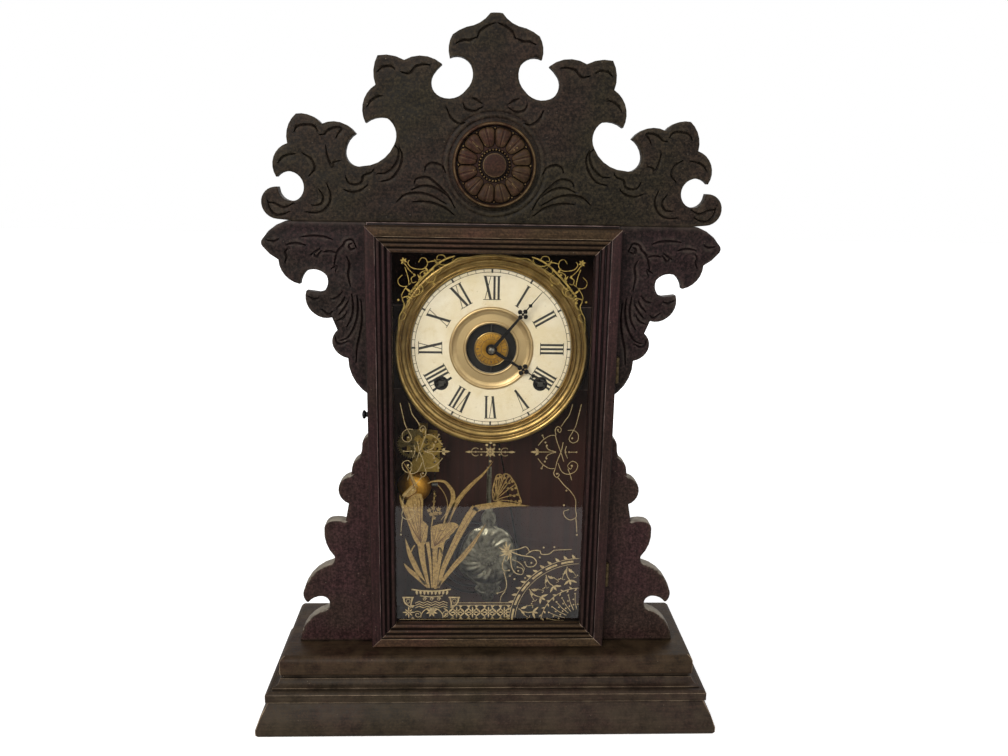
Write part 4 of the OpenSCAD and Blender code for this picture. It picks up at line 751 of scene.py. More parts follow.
steel = aged_metal("steel", srgb(150, 148, 142), srgb(84, 78, 70), (0.3, 0.55), 6)
blued = aged_metal("blued_steel", srgb(44, 44, 46), srgb(24, 22, 22), (0.35, 0.55), 5)
gong_blue = aged_metal("gong_blue", srgb(58, 56, 58), srgb(34, 28, 26), (0.35, 0.55), 9)
iron = aged_metal("gong_iron", srgb(52, 48, 46), srgb(32, 28, 26), (0.5, 0.7), 6)
silver = aged_metal("bob_silver", srgb(130, 125, 108), srgb(60, 55, 46), (0.25, 0.45), 8)
paper = aged_paper(srgb(226, 214, 193), srgb(214, 197, 164), srgb(196, 172, 130),
                   srgb(140, 118, 84))
ink = flat_print("dial_ink", srgb(46, 44, 42))
umber = flat_print("umber_line", srgb(84, 56, 28))
gilt = gilt_paint("gilt", srgb(170, 139, 84), srgb(122, 96, 56), 0.22)
old_gilt = gilt_paint("old_gilt", srgb(188, 158, 84), srgb(140, 114, 58))
pale_gilt = gilt_paint("pale_gilt", srgb(196, 172, 126), srgb(150, 126, 88))
# near-black finish: painted shade, for the brass plate seen only as the dark behind the dial's
# centre hole
shadow_black = flat_print("painted_shade_black", srgb(22, 20, 20), 0.5)
glass = thin_glass()


# Boards


def make_boards():
    for node in ("plinth_front", "base_moulding"):
        worked_copy(node, (plinth_wood, worn_and_lit_rail), 0.7)
    for node in ("plinth_left", "plinth_right"):
        worked_copy(node, (return_wood, worn_and_lit_rail), 0.5)
    worked_copy("base_deck", (deck_wood, worn_and_lit_rail), 0.5)
    for node in ("case_left_side", "case_right_side", "case_top"):
        worked_copy(node, (side_wood, worn_and_lit_stile), 0.5)
    worked_copy("back_board", back_wood, 0.5)
    for node in ("door_left_stile", "door_right_stile"):
        worked_copy(node, (stile_wood, worn_and_lit_stile), 0.25)
    for node in ("door_top_rail", "door_bottom_rail"):
        worked_copy(node, (rail_wood, worn_and_lit_rail), 0.25)
    worked_copy("glass_beads", side_wood, 0.3)
    worked_copy("door_knob", blued, 0.15, smooth=50)
    worked_copy("hinge_door_leaves", hinge_brass, 0.12, smooth=40)
    worked_copy("hinge_case_leaves", hinge_brass, 0.12, smooth=40)


# Crest and ears


CARVE_W, CARVE_DEEP = 2.0, 1.1
DRAWN_CREST = (354.6, 152.5)  # width and height of the crest that the lines were drawn on
CREST_RINGS = (2.4, 7.0)  # outside the rosette


def crest_lines():
    """Incised lines of the crest: its right half, [out, up from its foot], and the mirror of it."""
    wide, high = CREST_HI[0] - CREST_LO[0], CREST_HI[2] - CREST_LO[2]
    scale = np.array([wide / DRAWN_CREST[0], high / DRAWN_CREST[1]])
    drawn = [
        # top lobe
        [(14, 135), (11.8, 139.6), (6.2, 143.4), (1.8, 145)],
        [(29, 131), (24, 133), (19.6, 133), (15, 135)],
        # second lobe
        [(87, 110), (83.6, 113), (78, 113.7), (74.7, 112)],
        [(69.6, 109.6), (65, 108.7), (62.3, 110.3), (58.9, 114), (53.3, 115.3), (48.8, 115)],
        [(95, 85.4), (93, 88.7), (88.5, 91.8), (85, 92.6)],
        # small scrolls on the stem
        [(23.8, 88), (22, 84.7), (15.7, 83.2), (10, 86)],
        [(10.5, 89), (13.9, 91.3), (17.2, 92.5)],
        [(36, 84), (33, 78), (27, 74), (22, 75)],
        # third lobe
        [(149.8, 66.2), (148.5, 69), (144.5, 70.7), (137.7, 71), (134.4, 69.3), (132.7, 66.6)],
        [(131, 64), (127.7, 64.5), (124.2, 67.8), (118.5, 69.6), (115, 68.6), (117.4, 65.2),
         (119, 62)],
        [(162.7, 43.3), (160.2, 46.7), (155.6, 49), (150, 49.7)],
        [(127, 55), (126, 48.4), (122.7, 40.7), (121.5, 44), (117, 45.3)],
        [(144, 50), (138, 46), (136, 39), (140, 34)],
        # crescents under the wide opening
        [(112.6, 33), (110.4, 29), (105.8, 28), (101, 29.8), (99.3, 34.4), (94, 36.7), (91.7, 39)],
        [(114, 24), (108.2, 22.3), (101.2, 24), (96.5, 27.6)],
        [(75.3, 57), (72.5, 54), (73.2, 47.2), (76.7, 41.5), (82.5, 37), (88.6, 36.5)],
        [(72, 56), (70, 50.6), (70.8, 43.9), (74.4, 37), (79, 32.5), (86, 30.6)],
        # scroll and leaf at the end
        [(133, 23.6), (130.3, 19), (131, 14.5), (134, 12.2), (138.6, 12)],
        [(126.6, 27), (124.5, 20.3), (125.8, 13.5), (130.6, 8.2), (136.5, 6.4), (143.4, 7)],
        [(172, 15), (171, 9.3), (166.7, 4.8), (161, 4.9), (156, 7)],
        [(171, 13.8), (166.3, 12.8), (161.8, 10.6), (158, 10.5), (152.8, 13.4)],
        # spray beside the rosette
        [(30, 12), (35, 20.5), (42.7, 28.5), (50.6, 34.2), (58.7, 33.2), (61, 30)],
        [(36, 21), (45, 26.6), (54.2, 28), (62.5, 25)],
        [(37, 15), (48.7, 21), (59, 22.6), (68, 21), (74, 16)],
        [(31, 7), (40, 13), (51, 16), (62, 16)],
        [(37, 38), (40, 43), (46.8, 45), (51.5, 43), (52.7, 39.8)],
        ]
    return mirrored([smooth_line(np.array(line) * scale, 5) for line in drawn])


def fretted_board(node, word, depth_of, mat, **carving):
    """Carved board in the place of a fretted CAD node."""
    loop = outline_of(node, FRET_FRONT)
    name = node.replace("_board", "") + "_" + word
    board = relief_board(name, loop, FRET_FRONT, FRET_BACK, depth_of, BODY_OF[node], mat, **carving)
    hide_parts(node)


def make_crest():
    lines = [line + np.array([0, CREST_FOOT]) for line in crest_lines()]
    ring = np.array([0, ROSETTE_Z])

    def depth_of(p, gap):
        r = np.linalg.norm(p - ring, axis=1)
        depth = 0
        for off, deep in zip(CREST_RINGS, (0.9, 0.7)):
            depth = depth + deep * np.exp(-((r - ROSETTE_R - off) ** 2))
        cut = np.zeros(len(p))
        for line in lines:
            cut = np.maximum(cut, groove(p, line, CARVE_W, CARVE_DEEP))
        swell = 0.35 * np.sin(p[:, 0] / 7.5) * np.sin(p[:, 1] / 6.2) ** 2 * fade(gap - 3, 5)
        return 0.35 + depth + np.where(r > ROSETTE_R + 2, cut, 0) + swell

    turn = [(math.cos(a), math.sin(a)) for a in np.linspace(0, 2 * math.pi, 121)]
    rings = [ring + (ROSETTE_R + off) * np.array(turn) for off in CREST_RINGS]
    fretted_board("crest_board", "carved", depth_of, crest_wood, step=1.7, lines=lines + rings,
                  width=CARVE_W)


EAR_BEAD_R = 1.9


def upper_ear_lines():
    """Incised leaf lines of the right upper ear, [out from the box, down from its top edge]."""
    drawn = [
        [(60.9, 17.8), (54, 16.7), (47.3, 18)],
        [(49, 11.7), (40.3, 11), (32.5, 11.5), (26.7, 13.3)],
        [(63, 31.5), (61.8, 27.5), (62.6, 23.6), (60.6, 21)],
        [(75.4, 15), (70.5, 15.5), (67.6, 14)],
        [(8, 19), (11, 13.6), (16, 14.6), (18, 18), (22, 22), (24.2, 28), (25.3, 33)],
        [(9, 20), (12, 21), (13.6, 18), (11.5, 16.4)], [(33, 23.2), (28, 22.6), (23, 24)],
        [(42.7, 25.3), (39.7, 23.3), (35.7, 20.8)], [(40.7, 24.3), (38.8, 26.7), (34.8, 22.2)],
        [(8.2, 57.5), (7.6, 65.6), (8.8, 75.7), (12, 84), (16.5, 90.6), (23, 93)],
        [(12.2, 56), (11.4, 66), (13, 75), (17, 82)], [(18, 58.6), (20.2, 62.7), (24.3, 66.8)],
        [(15.2, 61.6), (18.3, 66.7), (22.5, 71.8)], [(17, 71), (19.4, 74.6), (23.6, 76.6)],
        [(20, 54.7), (24, 58.7), (28, 59.8)], [(15.3, 27), (13.5, 32.7), (14.7, 40.6), (13, 50)],
        [(26, 90), (25, 94.3), (21, 95.6), (17, 93.5)], [(27.4, 36), (23.4, 33.8), (24.5, 38)],
        [(45.8, 58), (41.9, 60), (38, 59)], [(5, 62), (4.6, 76), (6.6, 88), (9, 98), (10, 110)],
        [(36, 68), (31, 72), (28, 70)],
        ]
    return [smooth_line(np.array(line) * np.array([1, -1]), 5) for line in drawn]


def make_ears():
    upper_lo, upper_hi = box_mm("ear_upper_right")
    side, top = upper_lo[0], upper_hi[2]
    leaf = [line + np.array([side, top]) for line in upper_ear_lines()]
    beads = [(side + x, top - z) for x, z in ((23.5, 37), (20.7, 45.7), (22, 52.7), (19.6, 41))]
    for node, sign in (("ear_upper_right", 1), ("ear_upper_left", -1)):
        flip = np.array([sign, 1])
        lines = [l * flip for l in leaf]

        def depth_of(p, gap, lines=lines, flip=flip):
            cut = np.full(len(p), 0.5)
            for line in lines:
                cut = np.maximum(cut, 0.5 + groove(p, line, CARVE_W, CARVE_DEEP))
            for bead in beads:
                r = np.linalg.norm(p - bead * flip, axis=1)
                cut -= 0.5 * np.sqrt(np.clip(1 - (r / EAR_BEAD_R) ** 2, 0, 1))
            return cut + 0.3 * np.sin(p[:, 1] / 5) * fade(gap - 3, 5)

        fretted_board(node, "carved", depth_of, ear_wood, step=1.5, lines=lines, width=CARVE_W)

    def ripple(p, gap):
        return 0.3 + 0.25 * np.sin(p[:, 1] / 4.3) * fade(gap - 2, 6)

    for node in ("ear_lower_right", "ear_lower_left"):
        fretted_board(node, "stippled", ripple, low_ear_wood, step=2.0)


def make_rosette():
    """Turned and carved rosette: ring, round-ended petals, a ring of beads and a low boss."""
    petals, beads = 12, 30
    deep = ROSETTE_HI[1] - ROSETTE_LO[1]
    radii = np.concatenate([np.linspace(0.4, 13, 34), np.linspace(13.3, ROSETTE_R, 62)])
    sides = 480
    angle = 2 * np.pi * np.arange(sides) / sides
    off = np.abs(np.mod(petals * angle / (2 * np.pi), 1) - 0.5) * 2

    def turned(r, ys):
        """One ring of corners, each at its own place along Y."""
        return [(r * math.cos(a), y, ROSETTE_Z + r * math.sin(a)) for a, y in zip(angle, ys)]

    verts = []
    for r in radii:
        u = r / ROSETTE_R
        ring = 0.8 * math.sqrt(max(0, 1 - ((u - 0.955) / 0.045) ** 2))
        e = off ** 3.2 + max(0, (u - 0.74) / 0.15) ** 2.2 + max(0, (0.6 - u) / 0.17) ** 2
        crease = 0.18 * np.exp(-(off / 0.12) ** 2)
        petal = 0.12 + 0.5 * np.sqrt(np.clip(1 - e, 0, 1)) * (1 - crease)
        studs = 0.42 * np.sqrt(np.clip(1 - ((off - 1) / 0.16) ** 2 - ((u - 0.855) / 0.03) ** 2, 0,
                                       1))
        between = np.sin(beads * angle / 2) * 0.95
        bead = 0.55 * np.sqrt(np.clip(1 - ((u - 0.36) / 0.036) ** 2 - between ** 2, 0, 1))
        boss = 0.62 + 0.12 * math.sqrt(max(0, 1 - (u / 0.285) ** 2)) if u < 0.285 else 0
        level = np.full(sides, max(0.12, ring, boss))
        height = np.maximum.reduce([level, petal * (u < 0.9), studs, bead])
        verts += turned(r, ROSETTE_HI[1] - height * deep)
    foot = len(verts)
    verts += turned(ROSETTE_R, np.full(sides, ROSETTE_HI[1]))
    faces = [tuple(range(sides))]
    for at in range(0, foot, sides):
        faces += [(at + k, at + (k + 1) % sides, at + sides + (k + 1) % sides, at + sides + k)
                  for k in range(sides)]
    faces.append(tuple(foot + k for k in range(sides)))
    piece = mesh_piece("rosette_carved", verts, faces, "case", rosette_wood, 60)
    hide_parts("crest_rosette")


# Dial

ROMAN = {1: "I", 2: "II", 3: "III", 4: "IIII", 5: "V", 6: "VI", 7: "VII", 8: "VIII", 9: "IX",
         10: "X", 11: "XI", 12: "XII"}
INK_T = 0.06
TRACK = (62.6, 65.2)  # radii of the minute track's two rings
TRACK_LINE, TRACK_TICK = 0.42, 0.44
FIVE_MARK = (62.0, 65.4, 1.5)  # radii and width of every fifth mark
NUMERAL_FOOT, NUMERAL_TOP = 40.4, 59.4
NUMERAL_W = {"I": 3.4, "V": 7.0, "X": 7.2}
THICK_I, THICK_V, THICK_X, THIN = 1.85, 2.0, 2.1, 0.55
PAPER_R = 65.6
EYELET_OUT, EYELET_DOWN = 41, 29.5
EYELET = [(4.3, 0), (4.3, 0.5), (4.9, 0.75), (5.7, 0.5), (6.0, 0)]
CENTRE_R, CENTRE_HOLE = 34.5, 20.5


def make_dial_print():
    """Minute track and plain Roman numerals, as thin closed shapes on the paper."""
    verts, faces = [], []
    y = PAPER_Y - INK_T

    def on_dial(r, turn):
        a = math.radians(90 - turn)
        return np.array([r * math.cos(a), DIAL_Z + r * math.sin(a)])

    for r in TRACK:
        circle = [on_dial(r, t) for t in np.linspace(0, 360, 241)]
        ribbon(verts, faces, circle, TRACK_LINE, y, INK_T)
    for minute in range(60):
        r0, r1, w = (*TRACK, TRACK_TICK) if minute % 5 else FIVE_MARK
        ribbon(verts, faces, [on_dial(r0, minute * 6), on_dial(r1, minute * 6)], w, y, INK_T)
    half = (NUMERAL_TOP - NUMERAL_FOOT) / 2
    for hour, text in ROMAN.items():
        at = -sum(NUMERAL_W[c] for c in text) / 2
        centre = on_dial((NUMERAL_FOOT + NUMERAL_TOP) / 2, hour * 30)
        up = (on_dial(NUMERAL_TOP, hour * 30) - on_dial(NUMERAL_FOOT, hour * 30)) / (2 * half)
        right = np.array([up[1], -up[0]])

        def place(x, v):
            return centre + right * x + up * v

        for c in text:
            w = NUMERAL_W[c]
            mid = at + w / 2
            left, last = mid - w * 0.32, mid + w * 0.32
            if c == "I":
                strokes = [((mid, -half), (mid, half), THICK_I)]
            elif c == "V":
                strokes = [((left, half), (mid, -half), THICK_V),
                           ((mid + w * 0.34, half), (mid, -half), THIN)]
            else:
                strokes = [((left, half), (last, -half), THICK_X),
                           ((last, half), (left, -half), THIN)]
            for a, b, width in strokes:
                ribbon(verts, faces, [place(*a), place(*b)], width, y, INK_T)
            for v in (-half, half):
                if c == "V" and v < 0:
                    continue
                spread = w * 0.52
                serif = [place(mid - spread, v), place(mid + spread, v)]
                ribbon(verts, faces, serif, THIN, y, INK_T)
            at += w
    mesh_piece("dial_print", verts, faces, "case", ink, 0)


def make_dial():
    paint(paper, "dial_pan")
    # painted shade: the brass front plate is made near-black where it shows through the centre hole
    paint(shadow_black, "movement_front_plate")
    make_dial_print()
    centre = (0, PAPER_Y, DIAL_Z)
    thick = BEZEL_HI[1] - BEZEL_LO[1]
    deep = PAPER_Y - BEZEL_LO[1]
    r0, out = PAPER_R, BEZEL_R
    profile = arc_chain((r0, 0), ((r0, 0.5), (r0, 1.0)), ((r0 + 0.8, 1.8), (r0 + 1.6, 1.4)),
                        ((r0 + 2.1, deep * 0.3), (r0 + 3.0, deep * 0.42)),
                        ((r0 + 3.6, deep * 0.56), (r0 + 4.2, deep * 0.43)),
                        ((r0 + 6.4, deep * 0.47), (out - 5.4, deep * 0.68)),
                        ((out - 5.0, deep * 0.78), (out - 4.5, deep * 0.66)),
                        ((out - 2.2, deep), (out, deep * 0.62)),
                        ((out, 0), (out, deep - thick)),
                        ((out - 0.4, deep - thick), (out - 0.8, deep - thick)),
                        ((out - 0.8, 0), (out - 0.8, 0.02)),
                        ((out - 5, 0.01), (r0, 0)))
    ring = lathe("bezel_turned", profile, centre, "case", bezel_brass, 220, 40)
    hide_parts("dial_bezel")
    c, hole = CENTRE_R, CENTRE_HOLE
    inner = arc_chain((c, 0), ((c - 1.2, 1.8), (c - 2.6, 1.2)), ((c - 3.1, 0.9), (c - 3.6, 0.6)),
                      ((c - 4, 0.52), (hole + 2.4, 0.5)), ((hole + 1.2, 1.4), (hole, 0.6)),
                      ((hole, 0.3), (hole, 0)))
    lathe("centre_ring", inner, centre, "case", centre_brass, 160, 40)
    for side, word in SIDES:
        at = (side * EYELET_OUT, PAPER_Y, DIAL_Z - EYELET_DOWN)
        lathe("winding_eyelet_" + word, EYELET, at, "case", blued, 48, 60)


ALARM_RINGS = (8.4, 12.9)
FIGURE_R = 10.8
FIGURE_SIZE = 3.8
FIGURE_T = 0.04


def make_alarm_disc():
    """Gold alarm disc with small plain figures."""
    worked_copy("alarm_disc", disc_gold, 0.15, smooth=40)
    lo, hi = box_mm("alarm_disc")
    y = lo[1] - FIGURE_T

    def on_disc(r, a):
        return (r * math.cos(a), DIAL_Z + r * math.sin(a))

    edge = (hi[0] - lo[0]) / 2
    rim = [(edge - 0.75, 0.01), (edge - 0.6, 0.28), (edge - 0.35, 0.38), (edge - 0.1, 0.28),
           (edge, 0.01)]
    lathe("alarm_disc_rim", rim, (0, lo[1], DIAL_Z), "alarm_disc", bezel_brass, 96)
    verts, faces = [], []
    for r in ALARM_RINGS:
        circle = [on_disc(r, a) for a in np.linspace(0, 2 * math.pi, 97)]
        ribbon(verts, faces, circle, 0.3, y, FIGURE_T)
    for hour in range(12):
        a = math.radians(90 - hour * 30 - 15)
        ribbon(verts, faces, [on_disc(r, a) for r in ALARM_RINGS], 0.26, y, FIGURE_T)
    mesh_piece("alarm_disc_lines", verts, faces, "alarm_disc", ink, 0)
    for hour in range(1, 13):
        name = "alarm_figure_%02d" % hour
        curve = bpy.data.curves.new(name, "FONT")
        curve.body = str(hour)
        curve.size = FIGURE_SIZE * MM
        curve.extrude = FIGURE_T / 2 * MM
        curve.align_x, curve.align_y = "CENTER", "CENTER"
        text = bpy.data.objects.new(name, curve)
        x, z = on_disc(FIGURE_R, math.radians(90 - hour * 30))
        upright = Matrix.Rotation(math.pi / 2, 4, "X")
        turn = Matrix.Rotation(math.radians(hour * 30), 4, "Y") @ upright
        place = Matrix.Translation(Vector((x, y + FIGURE_T / 2, z)) * MM)
        text.matrix_world = place @ turn
        curve.materials.append(ink)
        link(text)
        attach(text, "alarm_disc")


def make_hands():
    worked_copy("minute_hand", blued, 0.16, 1, smooth=30)
    worked_copy("hour_hand", blued, 0.16, 1, smooth=30)
    worked_copy("centre_arbor", steel, 0.1, 1, smooth=40)


# Glass ornament


PAINT_GAP = 0.01  # between the pane and the first layer of paint
PAINT_T = 0.01
LAYER = 0.012  # from one layer of paint to the next


class Stencil:
    """Flat painted shapes on the back of the pane, [out from the middle, up from its foot]."""

    def __init__(self, name, mat, layer=0, side=1):
        self.name, self.mat, self.side = name, mat, side
        self.y = GLASS_HI[1] + PAINT_GAP + LAYER * layer
        self.verts, self.faces = [], []

    def on_pane(self, points):
        return [(self.side * p[0], GLASS_LO[2] + p[1]) for p in points]

    def line(self, points, width, taper=(1.0, 1.0), bent=True):
        points = self.on_pane(points)
        ribbon(self.verts, self.faces, smooth_line(points, 6) if bent else points, width, self.y,
               PAINT_T, taper)

    def shape(self, points, bent=False):
        if bent:
            points = smooth_line(list(points) + [points[0]], 4)[:-1]
        flat_shape(self.verts, self.faces, self.on_pane(points), self.y, PAINT_T)

    def leaf(self, foot, tip, width, bend=0.0, n=8):
        self.shape(leaf_outline(foot, tip, width, bend, n))

    def star(self, centre, r, count, turn, width, n=8):
        """Leaves that point outwards from one place, the first at a turn in degrees."""
        for k in range(count):
            self.leaf(centre, around(centre, r, 360 / count * k + turn), width, 0, n)

    def dots(self, places, r=0.8):
        for place in places:
            self.shape(disc_outline(place, r, 9))

    def done(self):
        mesh_piece(self.name, self.verts, self.faces, "door", self.mat, 0)


def around(centre, r, degrees):
    return (centre[0] + r * math.cos(math.radians(degrees)),
            centre[1] + r * math.sin(math.radians(degrees)))


def paint_corner(side, name):
    """Scrollwork in an upper corner; its points are [out, down from the door's upper rail]."""
    top = GLASS_HI[2] - GLASS_LO[2] - 4.1

    def down(*points):
        return [(x, top - d) for x, d in points]

    pen = Stencil(name, old_gilt, 0, side)
    for points, width in (
            ([(65.4, 32.8), (56.7, 22), (48, 13.2), (41.3, 7.4), (34.6, 3.9), (29.8, 2.4)], 1.7),
            ([(65.4, 33.7), (70.3, 35.7), (68.9, 40.6), (70.4, 45.5), (72.8, 50.5), (73.4, 61.3)],
             0.9),
            ([(64.7, 5.8), (65.7, 8.7), (62.4, 12), (54.7, 12.8), (50.9, 9.4), (51.8, 5.1),
              (55.2, 4.2), (57.6, 7.6)], 0.7),
            ([(68.1, 11.6), (65.8, 19.2), (65.4, 25), (69.2, 26.5), (72.6, 25.1), (73.5, 21.3),
              (70.1, 17.4)], 0.7),
            ([(69, 7.5), (65.3, 13), (61, 17.2)], 0.7),
            ([(48, 15.6), (44.7, 18), (46.1, 21.9), (50.9, 22.9), (51.9, 20), (49, 18)], 0.7),
            ([(55.7, 24.9), (54.3, 28.7), (57.7, 32.7), (62, 30.8), (61.5, 26.9), (56.7, 25.9)],
             0.7),
            ([(50.9, 7.5), (45.1, 6.5), (39.4, 9.3), (32.7, 8.2), (30.8, 3.9)], 0.8),
            ([(30.8, 6.3), (26, 3.8), (16.9, 3.4)], 0.7),
            ([(43.5, 9), (46.5, 13.5), (43, 15.5), (40.2, 12.5), (42.5, 10.2)], 0.7),
            ([(60.5, 27.5), (57, 29), (58.5, 33), (63, 34), (64.5, 30.5)], 0.7),
            ([(49.5, 14.5), (53.5, 14.2), (56.5, 16.5), (55, 19.5), (52.3, 18.2)], 0.7),
            ([(36.5, 4.8), (38.5, 1.9), (42.5, 2.1), (43.5, 5.2), (40.6, 5.4)], 0.7),
            ([(67, 35), (64.8, 38.2), (66.5, 42), (69, 43.5)], 0.7),
            ([(70.2, 46), (67.6, 48.6), (69.4, 52), (72, 53.5)], 0.7),
            ([(59.8, 17.6), (63.2, 19.8), (62.4, 23.4), (59.4, 22.6)], 0.7),
            ([(63.4, 23.5), (67.3, 27), (70.7, 32.8), (70.3, 36.7)], 0.7)):
        pen.line(down(*points), width, (0.8, 0.5))
    pen.dots(down((61, 17.2), (53, 16), (57, 21), (73.5, 37), (46, 24), (66, 38)), 0.9)
    for foot, tip in (((63.5, 31), (68, 27.5)), ((55.5, 20.8), (58.8, 16.6)),
                      ((50, 14.8), (53, 10.8)), ((43, 8.8), (45.6, 4.8)),
                      ((59.6, 25.6), (56.4, 27.4)), ((66.4, 33.8), (62.6, 36.2))):
        pen.leaf(*down(foot, tip), 1.5)
    pen.star((69, top - 6.8), 2.9, 6, 15, 1.4)
    pen.done()


def paint_side(side, name):
    """Light scrolls beside the pendulum."""
    pen = Stencil(name, pale_gilt, 0, side)
    mid = 155.4
    both = [[(39, 161), (43.1, 166), (48.4, 169.4), (53.2, 169.7)], [(42.2, 169.6), (43.6, 166.5)],
            [(45.4, 160.3), (47.5, 157.6), (52, 156)]]
    lines = both + [[(x, 2 * mid - z) for x, z in line] for line in both] + [
        [(37, mid), (45, mid), (52.9, mid)], [(64.4, mid), (67, mid), (71, mid)],
        [(53.2, 169.7), (52.5, 174.4), (54.5, 177.2), (57.3, 175), (56.3, 172.2), (54.1, 173.9)],
        [(57.2, 177.2), (60.2, 182.2), (63.5, 187.2), (66, 196)],
        [(73, 196), (70.3, 182.9), (68.9, 177.3), (66.5, 172.3), (64, 166.7), (66.8, 163.4),
         (71, 165.1), (71.3, 170.7), (67.5, 174), (62.7, 173.9)],
        [(52.6, 170), (54.4, 163.9), (57.4, 156), (60.4, 147)],
        [(59.3, 163.9), (57.9, 156), (55, 148.1), (53.6, 141.3)],
        [(55.6, 145.9), (59.1, 138.5), (64.5, 136.3), (70.4, 139.1), (71.8, 144.8), (67.4, 147.6),
         (63.7, 143.7), (66, 140.8), (68, 143.7)],
        [(62.1, 160.6), (61.2, 155.5), (63.5, 149.9)],
        [(53.6, 141.3), (52.4, 136.8), (54.9, 133.4), (57, 135.7), (55.3, 137.4)],
        [(56, 133.4), (61.6, 126.5), (67.3, 120.8), (71.3, 113.9), (71.6, 105.8), (72.4, 98.8),
         (67.6, 95.9), (63.1, 98.8), (61.9, 103.4), (66.2, 105.2)],
        [(72.1, 98), (73, 91), (73.5, 84.7)], [(64, 141), (66, 136), (67.5, 131)]]
    for line in lines:
        pen.line(line, 0.62, (0.9, 0.7))
    pen.dots([(42.2, 169.6), (42.2, 141.2), (46, 161), (46, 149.8), (44.8, 163.6), (44.8, 147.2),
              (61.5, mid), (64.4, mid), (70.5, mid), (52.9, mid), (54.6, 174.4), (55, 136.6),
              (63.4, 122), (66.6, 167.3), (67, 143.7), (73.6, 82.5), (61.8, 109)])
    for tip in ((32.7, mid), (36.8, mid + 3.2), (36.8, mid - 3.2)):
        pen.leaf((39.4, mid), tip, 2.0)
    pen.done()


WING_ROOT = (4.5, 113.5)
RIB_BEND = (0.6, 0.8)


